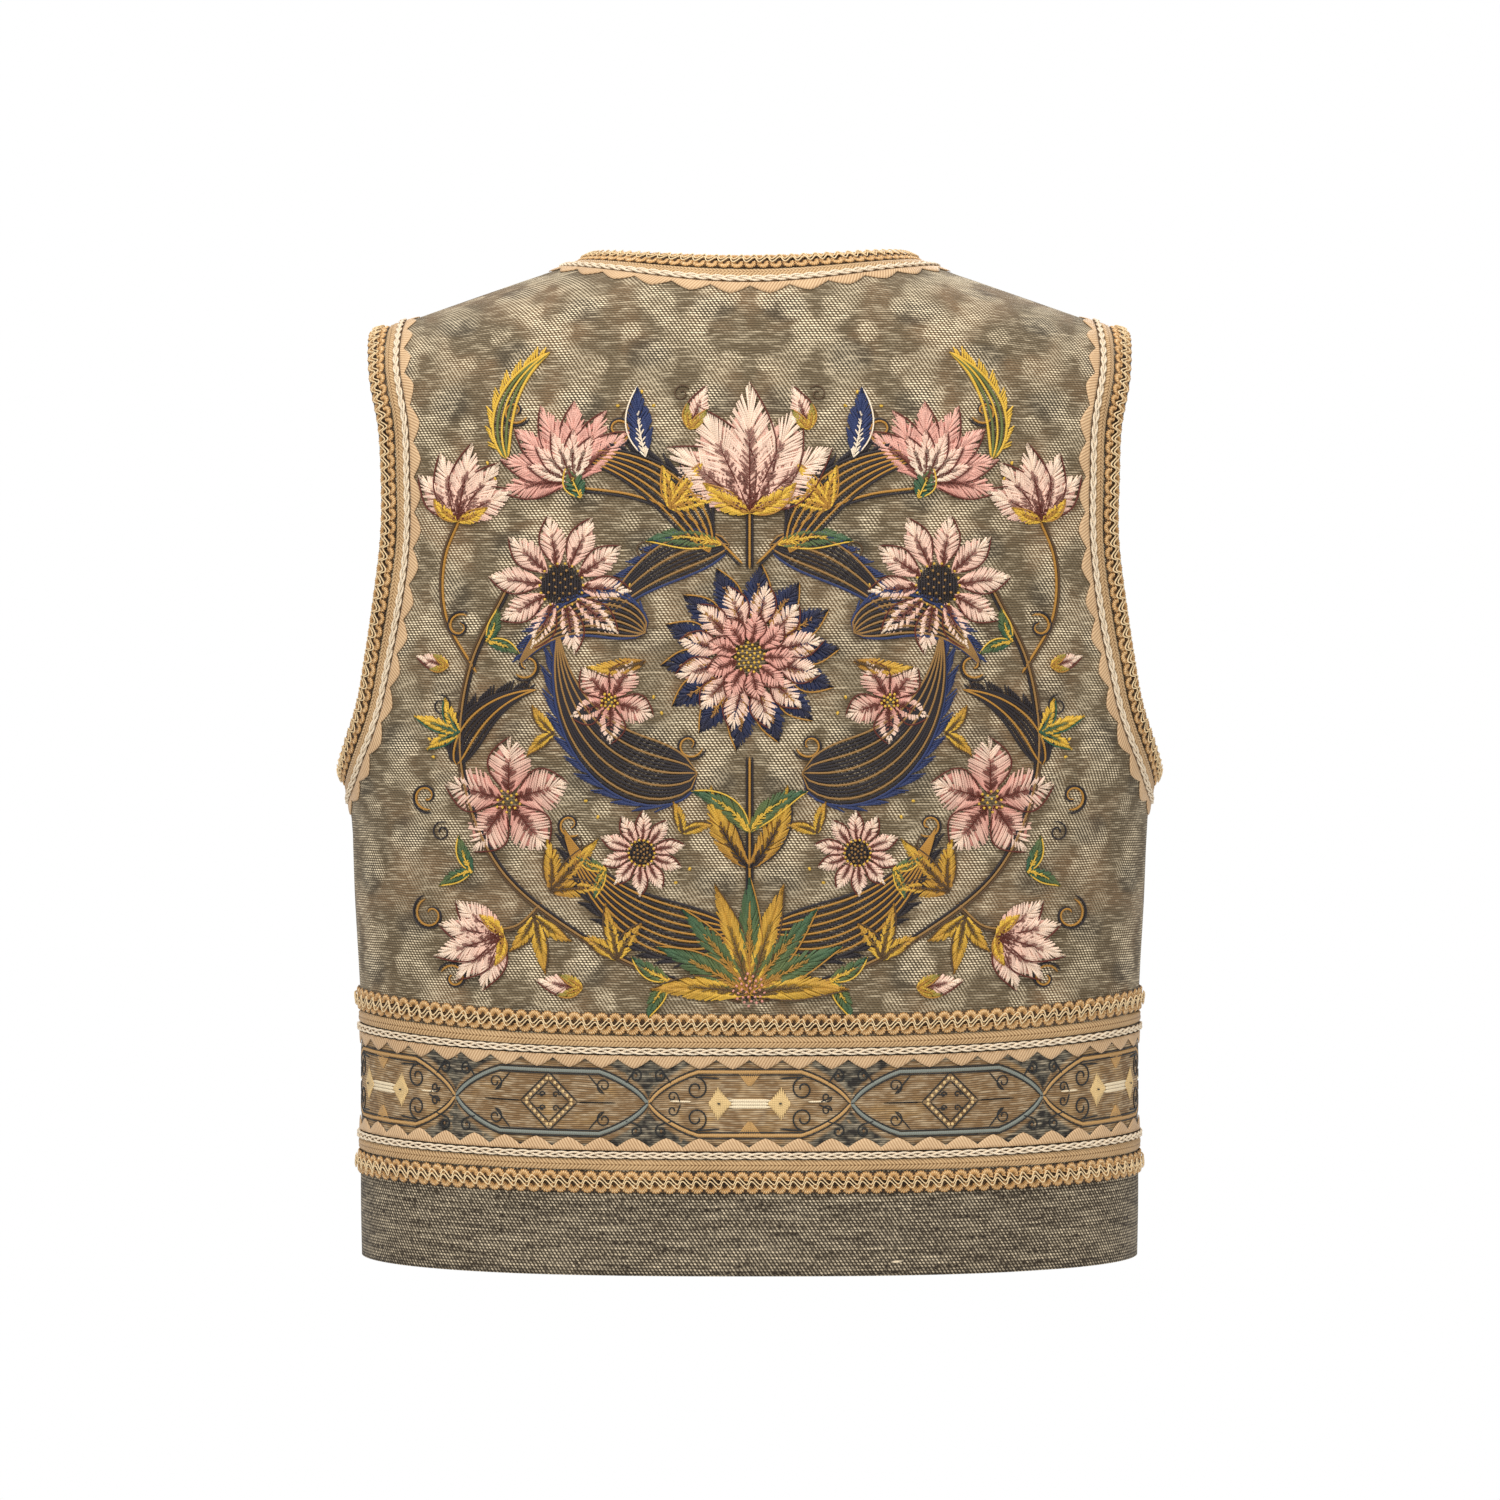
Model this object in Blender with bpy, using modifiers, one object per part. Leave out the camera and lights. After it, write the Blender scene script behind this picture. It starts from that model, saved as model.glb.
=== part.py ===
# Waistcoat, hollow as if worn: a back, two fronts, a patterned band and a hem strip, edged with braid trim.
# Metres, +Z up, +X to the wearer's right, +Y forwards. The origin is midway between the two
# neck-to-shoulder points, where the cloth sits on the shoulders.

import math

import bmesh
import bpy
import numpy as np

# Driving sizes of the garment
NECK_HALF = 0.0797
SHOULDER_SLOPE = 0.345
SHOULDER_ROUND = 0.050
BACK_NECK_DROP = 0.0075
FRONT_NECK_DROP = 0.110
FRONT_NECK_POINT = 1.15
HEM_HEIGHT = -0.522
UPPER_TRIM_HEIGHT = -0.3905
LOWER_TRIM_HEIGHT = -0.4812
SIDE_LIFT = 0.009
SIDE_LIFT_BEND = 1.3
SECTION_POWER = 2.6

# Cloth, seams and what lies on the cloth
CLOTH = 0.002
SEAM_GAP = 0.0003
OPENING_GAP = 0.0006
BED_GAP = 0.0003
WELD = 0.00002
MIRROR_MERGE = 0.0001

# The trim's parts: where each starts and ends, measured in from the finished edge, its height,
# and how far its sides lean in
TRIM = {
    "gimp": {"start": 0.0, "end": 0.0115, "height": 0.0020, "lean": 0.0022},
    "tape": {"start": 0.0118, "end": 0.0168, "height": 0.0012, "lean": 0.0},
    "chain": {"start": 0.0171, "end": 0.0213, "height": 0.0018, "lean": 0.0011},
    "teeth": {"start": 0.0216, "valley": 0.0234, "end": 0.0280, "height": 0.0008},
}
TRIM_SEAM = 0.0143
RING_OFFSETS = (0.0, 0.01165, 0.01695, 0.02145, 0.0286)
INSET_STEPS = 14

# Teeth of the edging along each stretch, counted from the photograph
NECK_BACK_TEETH = 7
NECK_FRONT_TEETH = 12
ARMHOLE_TEETH = 18
BAND_TEETH = 15
SHOULDER_COLUMNS = BAND_TEETH - NECK_BACK_TEETH
FRONT_SHOULDER_COLUMNS = BAND_TEETH - NECK_FRONT_TEETH
SIDE_ROWS = 3
BAND_ROWS = 2
HEM_ROWS = 1
FINE = 241
NUDGE = 1e-5

# The general figure, a row for each level section
FIGURE = np.array(
    [
        (0.030, 0.2150, 0.0740, 0.0640),
        (-0.050, 0.2150, 0.0900, 0.0860),
        (-0.100, 0.2150, 0.0980, 0.1000),
        (-0.160, 0.2150, 0.1015, 0.1100),
        (-0.220, 0.2149, 0.1005, 0.1130),
        (-0.266, 0.2144, 0.0985, 0.1120),
        (-0.281, 0.2106, 0.0978, 0.1105),
        (-0.297, 0.2088, 0.0968, 0.1090),
        (-0.337, 0.2066, 0.0945, 0.1045),
        (-0.390, 0.2040, 0.0940, 0.1005),
        (-0.440, 0.2036, 0.0950, 0.1000),
        (-0.490, 0.2036, 0.0970, 0.1015),
        (-0.530, 0.2030, 0.0985, 0.1030),
    ],
    dtype=[("height", float), ("half_width", float), ("back_depth", float), ("front_depth", float)],
)[::-1]

# The armhole's edge, a row for each height, from the underarm to the shoulder tip
ARMHOLE = np.array(
    [
        (-0.2664, 0.2144, 0.2144),
        (-0.2585, 0.2115, 0.2110),
        (-0.2430, 0.2052, 0.2040),
        (-0.2122, 0.1977, 0.1950),
        (-0.1816, 0.1927, 0.1880),
        (-0.1509, 0.1894, 0.1835),
        (-0.1201, 0.1894, 0.1830),
        (-0.0940, 0.1905, 0.1855),
        (-0.0665, 0.1960, 0.1930),
        (-0.0413, 0.1990, 0.1990),
    ],
    dtype=[("height", float), ("back_x", float), ("front_x", float)],
)

# Colours as linear red, green and blue
COLOURS = {
    "brocade": (0.29, 0.24, 0.18),
    "band": (0.23, 0.17, 0.11),
    "plain": (0.18, 0.145, 0.10),
    "gimp": (0.43, 0.26, 0.13),
    "tape": (0.55, 0.36, 0.19),
    "chain": (0.72, 0.56, 0.40),
    "teeth": (0.57, 0.39, 0.24),
}
ROUGHNESS = 0.85


def smooth(heights, values, height):
    """Cubic through a table's points, with each slope taken from its neighbours."""
    slopes = np.gradient(values, heights)
    height = np.clip(height, heights[0], heights[-1])
    row = np.clip(np.searchsorted(heights, height, side="right") - 1, 0, len(heights) - 2)
    span = heights[row + 1] - heights[row]
    t = (height - heights[row]) / span
    return (
        values[row] * (1 + 2 * t) * (1 - t) ** 2
        + values[row + 1] * t**2 * (3 - 2 * t)
        + span * slopes[row] * t * (1 - t) ** 2
        - span * slopes[row + 1] * t**2 * (1 - t)
    )


def figure(column, height):
    return smooth(FIGURE["height"], FIGURE[column], height)


TOP_HALF_WIDTH = float(figure("half_width", 0.0))
NECK_RISE = SHOULDER_SLOPE * NECK_HALF / 2


def ridge(across):
    """Height of the shoulder line over a point, which rises in a curve over the neck opening."""
    x = TOP_HALF_WIDTH * np.abs(across)
    over_neck = NECK_RISE * (1 - (x / NECK_HALF) ** 2)
    return np.where(x < NECK_HALF, over_neck, -SHOULDER_SLOPE * (x - NECK_HALF))


def sink(fall):
    """Height below the shoulder line for a fall angle: a rounded shoulder, then straight down."""
    return SHOULDER_ROUND * np.where(fall < math.pi / 2, 1 - np.cos(fall), 1 + fall - math.pi / 2)


def fall_of(depth):
    """The fall angle for a height below the shoulder line."""
    share = np.asarray(depth) / SHOULDER_ROUND
    return np.where(share < 1, np.arccos(1 - np.clip(share, 0, 1)), math.pi / 2 + share - 1)


def body_point(turn, fall):
    """A point of the worn form. turn goes round it from the centre back, fall down from the shoulder."""
    across = np.sin(turn)
    height = ridge(across) - sink(fall)
    front = np.cos(turn) < 0
    depth = np.where(front, figure("front_depth", height), figure("back_depth", height))
    bulge = np.sqrt(np.maximum(0, 1 - np.abs(across) ** SECTION_POWER))
    over = np.where(fall < math.pi / 2, np.sin(fall), 1)
    x = figure("half_width", height) * across
    y = np.where(front, 1, -1) * depth * bulge * over
    return np.stack([x, y, height], axis=-1)


def slopes_at(turn, fall):
    """The form's two tangents at a point."""
    along_turn = body_point(turn + NUDGE, fall) - body_point(turn - NUDGE, fall)
    along_fall = body_point(turn, fall + NUDGE) - body_point(turn, fall - NUDGE)
    return along_turn / (2 * NUDGE), along_fall / (2 * NUDGE)


def unit(vectors):
    return vectors / np.linalg.norm(vectors, axis=-1, keepdims=True)


def outward(turn, fall):
    along_turn, along_fall = slopes_at(turn, fall)
    return unit(np.cross(along_fall, along_turn))


def cloth(turn, fall, out=0.0):
    """A point of the cloth, moved out from its face."""
    turn, fall = np.asarray(turn, float), np.asarray(fall, float)
    points = body_point(turn, fall)
    return points + out * outward(turn, fall) if out else points


def place_of(x, height, front=False):
    """turn and fall of the cloth's point that has this x and height."""
    across = np.clip(x / figure("half_width", height), -1, 1)
    turn = np.arcsin(across)
    fall = fall_of(np.maximum(0, ridge(across) - height))
    return np.stack([math.pi - turn if front else turn, fall], axis=-1)


def level_fall(turn, height):
    """The fall of a line that runs round the garment at a height, lifting towards the side seams."""
    across = np.abs(np.sin(turn))
    share = np.clip((height - HEM_HEIGHT) / (UPPER_TRIM_HEIGHT - HEM_HEIGHT), 0, None)
    lifted = height + SIDE_LIFT * share**SIDE_LIFT_BEND * across**3
    return fall_of(ridge(across) - lifted)


def even_stations(places, count):
    """Places at equal spacing along the cloth, from a fine run of places."""
    steps = np.linalg.norm(np.diff(cloth(places[:, 0], places[:, 1]), axis=0), axis=1)
    travelled = np.concatenate([[0], np.cumsum(steps)])
    wanted = np.linspace(0, travelled[-1], count + 1)
    return np.stack([np.interp(wanted, travelled, places[:, k]) for k in (0, 1)], axis=-1)


def armhole_arc(column, front):
    """One side of the armhole, from the underarm up to the shoulder tip."""
    corners = place_of(ARMHOLE[column], ARMHOLE["height"], front)
    corners[0, 0], corners[-1, 1] = math.pi / 2, 0.0
    below = [math.pi - corners[1, 0], corners[1, 1]]
    above = [corners[-2, 0], -corners[-2, 1]]
    run = np.vstack([below, corners, above])
    chord = np.linalg.norm(np.diff(cloth(run[:, 0], run[:, 1]), axis=0), axis=1)
    marks = np.concatenate([[0], np.cumsum(chord)])
    fine = np.linspace(marks[1], marks[-2], FINE)
    places = np.stack([smooth(marks, run[:, k], fine) for k in (0, 1)], axis=-1)
    return even_stations(places, ARMHOLE_TEETH)


def neck_back_arc():
    """Half the back neck, from the centre back to the shoulder: an oval seen from above."""
    angle = np.linspace(0, math.pi / 2, FINE)
    x, height = NECK_HALF * np.sin(angle), -BACK_NECK_DROP * np.cos(angle) ** 2
    return even_stations(place_of(x, height), NECK_BACK_TEETH)


def neck_front_arc():
    """Half the front neck, from the shoulder down to the centre front: a pointed oval."""
    angle = np.linspace(0, math.pi / 2, FINE)
    x = NECK_HALF * np.cos(angle) ** FRONT_NECK_POINT
    places = place_of(x, -FRONT_NECK_DROP * np.sin(angle), True)
    x_gap = OPENING_GAP / 2
    centre = math.pi - x_gap / figure("half_width", -FRONT_NECK_DROP)
    places[:, 0] = np.minimum(places[:, 0], centre)
    return even_stations(places, NECK_FRONT_TEETH)


def mirrored(places):
    return places * np.array([-1, 1])


def from_front(line):
    """The same places along the shoulder line, counted as the front's."""
    return np.stack([math.pi - line[..., 0], np.zeros(line.shape[:-1])], axis=-1)


def inset_lines(stations, tangents, inward, offsets):
    """From each station of an edge, places at these distances in over the cloth, square to the edge."""
    reach = max(offsets)
    step = reach / INSET_STEPS
    trail = [stations]

    def heading(places):
        along_turn, along_fall = slopes_at(places[:, 0], places[:, 1])
        away = inward * unit(np.cross(unit(np.cross(along_fall, along_turn)), tangents))
        tt, tf, ff = [np.sum(a * b, axis=1) for a, b in
                      ((along_turn, along_turn), (along_turn, along_fall), (along_fall, along_fall))]
        at, af = np.sum(along_turn * away, axis=1), np.sum(along_fall * away, axis=1)
        spread = tt * ff - tf**2
        return np.stack([(ff * at - tf * af) / spread, (tt * af - tf * at) / spread], axis=-1)

    for _ in range(INSET_STEPS):
        middle = trail[-1] + heading(trail[-1]) * step / 2
        trail.append(trail[-1] + heading(middle) * step)
    trail = np.array(trail)
    distances = np.linspace(0, reach, INSET_STEPS + 1)
    lines = np.empty((len(stations), len(offsets), 2))
    for station, column in np.ndindex(len(stations), 2):
        lines[station, :, column] = np.interp(offsets, distances, trail[:, station, column])
    return lines


def armhole_lines(offsets):
    """Lines in from the right armhole: up the back from the underarm, over, and down the front."""
    back, front = armhole_arc("back_x", False), armhole_arc("front_x", True)[::-1]
    stations = np.vstack([back, front[1:]])
    points = cloth(stations[:, 0], stations[:, 1])
    loop = points[:-1]
    tangents = unit(np.roll(loop, -1, axis=0) - np.roll(loop, 1, axis=0))
    tangents = np.vstack([tangents, tangents[:1]])
    return inset_lines(stations, tangents, 1, offsets)


def neck_lines(offsets):
    """Lines down from the neck edge, from the left centre front round the back to the right one."""
    back, front = neck_back_arc(), neck_front_arc()
    half = np.vstack([back, front[1:]])
    stations = np.vstack([mirrored(half)[::-1], half[1:]])
    points = cloth(stations[:, 0], stations[:, 1])
    tangents = unit(np.gradient(points, axis=0))
    tangents[0] = tangents[-1] = (-1, 0, 0)
    tangents[len(half) - 1] = (1, 0, 0)
    tangents[NECK_FRONT_TEETH], tangents[-1 - NECK_FRONT_TEETH] = (0, -1, 0), (0, 1, 0)
    return inset_lines(stations, tangents, -1, offsets)


def band_turns():
    """Turns of the columns round the garment: right half, centre back to centre front."""
    middle = (UPPER_TRIM_HEIGHT + LOWER_TRIM_HEIGHT) / 2
    quarters = []
    centre = math.pi - OPENING_GAP / 2 / float(figure("half_width", middle))
    for start, end in ((0, math.pi / 2), (math.pi / 2, centre)):
        turns = np.linspace(start, end, FINE)
        places = np.stack([turns, level_fall(turns, middle)], axis=-1)
        quarters.append(even_stations(places, BAND_TEETH)[:, 0])
    return quarters


def seam_clear(places, front):
    """Draws a panel back from the side seam, the shoulder seam and the front opening by half a gap."""
    turn, fall = places[..., 0].copy(), places[..., 1].copy()
    side = SEAM_GAP / 2 / (figure("back_depth", -0.35) * math.sqrt(SECTION_POWER / 2))
    if front:
        height = ridge(np.sin(turn)) - sink(fall)
        centre = math.pi - OPENING_GAP / 2 / figure("half_width", height)
        turn = np.clip(turn, math.pi / 2 + side, centre)
    else:
        turn = np.clip(turn, 0, math.pi / 2 - side)
    bulge = np.sqrt(1 - np.abs(np.sin(turn)) ** SECTION_POWER)
    shoulder = SEAM_GAP / 2 / (figure("back_depth", 0.0) * bulge)
    return np.stack([turn, np.maximum(fall, shoulder)], axis=-1)


def blend_grid(bottom, top, left, right):
    """Fills a four-sided patch of places from its edges."""
    rise = (right[:, 1] - right[0, 1]) / (right[-1, 1] - right[0, 1])
    rise = rise[:, None, None]
    span = np.linspace(0, 1, len(bottom))[None, :, None]
    between = (1 - span) * left[:, None] + span * right[:, None]
    low = bottom[None] - ((1 - span) * bottom[0] + span * bottom[-1])
    high = top[None] - ((1 - span) * top[0] + span * top[-1])
    return between + (1 - rise) * low + rise * high


def panel_blocks(neck, armhole, turns, seam_columns):
    """A panel's patches: the middle, the strip round the neck and the strip round the armhole."""
    seam_height = UPPER_TRIM_HEIGHT - TRIM_SEAM + SEAM_GAP / 2
    bottom = np.stack([turns, level_fall(turns, seam_height)], axis=-1)
    ring_foot = armhole[0, -1]
    side = np.linspace(bottom[-1], ring_foot, SIDE_ROWS + 1)
    right = np.vstack([side, armhole[1:, -1]])
    seam = np.linspace(neck[-1, -1], armhole[-1, -1], seam_columns + 1)
    top = np.vstack([neck[:, -1], seam[1:]])
    rise = (right[:, 1] - right[0, 1]) / (right[-1, 1] - right[0, 1])
    left = bottom[0] + (top[0] - bottom[0]) * rise[:, None]
    return [blend_grid(bottom, top, left, right), neck, armhole]


def strip_blocks(turns, top, bottom, rows):
    """A level strip of cloth between two heights."""
    heights = np.linspace(top, bottom, rows + 1)
    falls = np.array([level_fall(turns, height) for height in heights])
    return [np.stack([np.broadcast_to(turns, falls.shape), falls], axis=-1)]


def material(kind):
    finish = bpy.data.materials.get(kind)
    if finish is None:
        finish = bpy.data.materials.new(kind)
        finish.use_nodes = True
        shader = finish.node_tree.nodes["Principled BSDF"]
        shader.inputs["Base Color"].default_value = (*COLOURS[kind], 1)
        shader.inputs["Roughness"].default_value = ROUGHNESS
        shader.inputs["Metallic"].default_value = 0
    return finish


def add_piece(name, points, faces, kind):
    """Puts a closed mesh in the garment's collection, with its faces outwards."""
    mesh = bpy.data.meshes.new(name)
    mesh.from_pydata([tuple(p) for p in points], [], faces)
    shape = bmesh.new()
    shape.from_mesh(mesh)
    bmesh.ops.recalc_face_normals(shape, faces=shape.faces)
    shape.to_mesh(mesh)
    shape.free()
    mesh.materials.append(material(kind))
    piece = bpy.data.objects.new(name, mesh)
    bpy.data.collections["waistcoat"].objects.link(piece)
    return piece


def split(quad, points, out):
    """The two triangles of a quad, cut along the diagonal that lies further in."""
    a, b, c, d = quad
    if np.dot(points[a] + points[c] - points[b] - points[d], out) > 0:
        a, b, c, d = b, c, d, a
    return [(a, b, c), (a, c, d)]


def wall(name, blocks, kind, halved=False):
    """A wall of cloth over patches of places. A halved one is open at the centre and mirrored."""
    face = bmesh.new()
    turn_of, fall_at = (face.verts.layers.float.new(key) for key in ("turn", "fall"))
    for places in blocks:
        points = cloth(places[..., 0], places[..., 1])
        grid = np.empty(points.shape[:2], object)
        for spot in np.ndindex(grid.shape):
            corner = face.verts.new(points[spot])
            corner[turn_of], corner[fall_at] = places[spot]
            grid[spot] = corner
        for i, j in np.ndindex(grid.shape[0] - 1, grid.shape[1] - 1):
            face.faces.new((grid[i, j], grid[i, j + 1], grid[i + 1, j + 1], grid[i + 1, j]))
    bmesh.ops.remove_doubles(face, verts=face.verts, dist=WELD)
    face.verts.index_update()
    outer = np.array([v.co for v in face.verts])
    inner = cloth([v[turn_of] for v in face.verts], [v[fall_at] for v in face.verts], -CLOTH)
    count = len(outer)
    faces = []
    for quad in ([v.index for v in f.verts] for f in face.faces):
        faces += split(quad, outer, np.sum(outer[quad] - inner[quad], axis=0))
    faces += [[count + k for k in reversed(f)] for f in faces]
    for edge in face.edges:
        at_centre = all(abs(v.co.x) < WELD for v in edge.verts)
        if edge.is_boundary and not (halved and at_centre):
            a, b = (v.index for v in edge.verts)
            faces.append([a, b, b + count, a + count])
    face.free()
    piece = add_piece(name, np.vstack([outer, inner]), faces, kind)
    if halved:
        mirror = piece.modifiers.new("Mirror", "MIRROR")
        mirror.merge_threshold = MIRROR_MERGE
    return piece


def loft(name, rings, kind, closed):
    """A closed solid through rings of points, capped at its ends unless it closes on itself."""
    stations, around = rings.shape[:2]
    last = stations if closed else stations - 1
    points = rings.reshape(-1, 3)
    faces = []
    for i, j in np.ndindex(last, around):
        here, ahead = i * around, (i + 1) % stations * around
        after = (j + 1) % around
        out = points[here + around - 1] - points[here]
        faces += split([here + j, here + after, ahead + after, ahead + j], points, out)
    if not closed:
        faces.append(list(range(around)))
        faces.append(list(range((stations - 1) * around, stations * around)))
    return add_piece(name, points, faces, kind)


def trim_run(name, rail, closed):
    """The four parts of the trim along one edge. rail gives the places at a distance in from it."""
    for kind in ("gimp", "tape", "chain"):
        start, end, height, lean = TRIM[kind].values()
        profile = [(start, 0), (end, 0), (end - lean, height), (start + lean, height)]
        rings = np.stack([cloth(*rail(offset), BED_GAP + up) for offset, up in profile], axis=1)
        loft(f"{name}_{kind}", rings[:-1] if closed else rings, kind, closed)
    toothed_edging(f"{name}_teeth", rail, closed)


def toothed_edging(name, rail, closed):
    """A flat strip whose inner edge is cut into teeth, one between each two stations."""
    teeth = TRIM["teeth"]
    rows = {}
    for key in ("start", "valley", "end"):
        for height in (0, teeth["height"]):
            rows[key, height] = cloth(*rail(teeth[key]), BED_GAP + height)
    rings = []
    count = len(rows["start", 0])
    for k in range(count):
        for key, ahead in (("valley", 0), ("end", 1)):
            if k + ahead < count:
                corners = [("start", 0), (key, 0), (key, teeth["height"]), ("start", teeth["height"])]
                rings.append([(rows[c][k] + rows[c][k + ahead]) / 2 for c in corners])
    rings = np.array(rings)
    return loft(name, rings[:-1] if closed else rings, "teeth", closed)


def ring_rail(lines_of):
    """A rail that runs in from an edge over the cloth."""
    offsets = sorted(
        {part[key] for part in TRIM.values() for key in ("start", "valley", "end") if key in part}
        | {part["start"] + part["lean"] for part in TRIM.values() if "lean" in part}
        | {part["end"] - part["lean"] for part in TRIM.values() if "lean" in part}
    )
    lines = lines_of(offsets)

    def rail(offset):
        k = int(np.argmin(np.abs(np.array(offsets) - offset)))
        return lines[:, k, 0], lines[:, k, 1]

    return rail


def level_rail(turns, edge, inward):
    """A rail that runs level round the garment, in from an edge at a height."""
    return lambda offset: (turns, level_fall(turns, edge + inward * offset))


def build_panels(back_turns, front_turns):
    neck, armhole = neck_lines(RING_OFFSETS), armhole_lines(RING_OFFSETS)
    middle = NECK_BACK_TEETH + NECK_FRONT_TEETH
    shoulder = middle + NECK_BACK_TEETH
    back = panel_blocks(neck[middle:shoulder + 1], armhole[:ARMHOLE_TEETH + 1], back_turns,
                        SHOULDER_COLUMNS)
    front_neck = np.vstack([neck[:shoulder:-1], from_front(neck[shoulder])[None]])
    front_armhole = np.vstack([armhole[:ARMHOLE_TEETH:-1], from_front(armhole[ARMHOLE_TEETH])[None]])
    front = panel_blocks(front_neck, front_armhole, front_turns[::-1], FRONT_SHOULDER_COLUMNS)
    upper = UPPER_TRIM_HEIGHT - TRIM_SEAM - SEAM_GAP / 2
    lower = LOWER_TRIM_HEIGHT + TRIM_SEAM
    band, hem = (upper, lower + SEAM_GAP / 2, BAND_ROWS), (lower - SEAM_GAP / 2, HEM_HEIGHT, HEM_ROWS)
    for part, kind, back_part, front_part in (
        ("", "brocade", back, front),
        ("_band", "band", strip_blocks(back_turns, *band), strip_blocks(front_turns, *band)),
        ("_hem", "plain", strip_blocks(back_turns, *hem), strip_blocks(front_turns, *hem)),
    ):
        wall("back" + part, [seam_clear(b, False) for b in back_part], kind, halved=True)
        cleared = [seam_clear(b, True) for b in front_part]
        wall("front" + part + "_right", cleared, kind)
        wall("front" + part + "_left", [mirrored(b) for b in cleared], kind)


def build_trims(back_turns, front_turns):
    half = np.concatenate([back_turns, front_turns[1:]])
    round_body = np.concatenate([-half[::-1], half[1:]])
    trim_run("upper", level_rail(round_body, UPPER_TRIM_HEIGHT, -1), False)
    trim_run("lower", level_rail(round_body, LOWER_TRIM_HEIGHT, 1), False)
    trim_run("neck", ring_rail(neck_lines), False)
    trim_run("armhole_right", ring_rail(armhole_lines), True)
    trim_run("armhole_left", ring_rail(lambda offsets: mirrored(armhole_lines(offsets))), True)


def main():
    for old in list(bpy.data.objects):
        bpy.data.objects.remove(old)
    garment = bpy.data.collections.new("waistcoat")
    bpy.context.scene.collection.children.link(garment)
    back_turns, front_turns = band_turns()
    build_panels(back_turns, front_turns)
    build_trims(back_turns, front_turns)


main()
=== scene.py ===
import math

import bpy
import numpy as np
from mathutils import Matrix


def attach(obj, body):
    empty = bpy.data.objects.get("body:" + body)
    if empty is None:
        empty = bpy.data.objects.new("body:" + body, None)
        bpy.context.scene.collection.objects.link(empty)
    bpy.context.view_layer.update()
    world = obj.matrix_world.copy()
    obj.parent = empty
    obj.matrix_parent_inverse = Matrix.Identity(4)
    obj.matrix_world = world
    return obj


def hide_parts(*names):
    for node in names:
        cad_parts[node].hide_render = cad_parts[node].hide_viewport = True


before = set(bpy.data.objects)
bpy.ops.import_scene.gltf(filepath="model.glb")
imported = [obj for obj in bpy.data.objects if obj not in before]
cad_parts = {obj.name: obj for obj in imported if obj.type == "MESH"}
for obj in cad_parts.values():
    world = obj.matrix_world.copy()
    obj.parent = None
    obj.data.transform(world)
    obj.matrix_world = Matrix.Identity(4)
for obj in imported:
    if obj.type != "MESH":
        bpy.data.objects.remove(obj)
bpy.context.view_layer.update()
rng = np.random.default_rng(7)

# The worn form, with the driving sizes of the CAD source
form = {
    "neckHalf": 0.0797,
    "slope": 0.345,
    "round": 0.050,
    "neckBackDrop": 0.0075,
    "neckFrontDrop": 0.110,
    "neckPoint": 1.15,
    "hem": -0.522,
    "upperTrim": -0.3905,
    "lowerTrim": -0.4812,
    "seam": 0.0143,
    "sideLift": 0.009,
    "liftBend": 1.3,
    "power": 2.6,
    "cloth": 0.002,
    "gap": 0.00002,
    "gapLevel": -0.35,
    "opening": 0.00012,
    "trimReach": 0.0286,
    "swell": 0.00025,
    "creaseFade": 0.03,
}
# How finely it is worked out: samples of a run, steps in from an edge, rounds that even a grid, samples
# of the girth, and the distance under which points are one
detail = {"run": 721, "inset": 20, "rounds": 300, "girth": 1441, "weld": 2e-5}
# Height, half width, back depth and front depth of the figure's level sections
sections = np.array(
    [
        (-0.530, 0.2030, 0.0985, 0.1030),
        (-0.490, 0.2036, 0.0970, 0.1015),
        (-0.440, 0.2036, 0.0950, 0.1000),
        (-0.390, 0.2040, 0.0940, 0.1005),
        (-0.337, 0.2066, 0.0945, 0.1045),
        (-0.297, 0.2088, 0.0968, 0.1090),
        (-0.281, 0.2106, 0.0978, 0.1105),
        (-0.266, 0.2144, 0.0985, 0.1120),
        (-0.220, 0.2149, 0.1005, 0.1130),
        (-0.160, 0.2150, 0.1015, 0.1100),
        (-0.100, 0.2150, 0.0980, 0.1000),
        (-0.050, 0.2150, 0.0900, 0.0860),
        (0.030, 0.2150, 0.0740, 0.0640),
    ]
)
# Height, x on the back and x on the front of the armhole's edge
armholeRows = np.array(
    [
        (-0.2664, 0.2144, 0.2144),
        (-0.2585, 0.2115, 0.2110),
        (-0.2430, 0.2052, 0.2040),
        (-0.2122, 0.1977, 0.1950),
        (-0.1816, 0.1927, 0.1880),
        (-0.1509, 0.1894, 0.1835),
        (-0.1201, 0.1894, 0.1830),
        (-0.0940, 0.1905, 0.1855),
        (-0.0665, 0.1960, 0.1930),
        (-0.0413, 0.1990, 0.1990),
    ]
)
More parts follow.
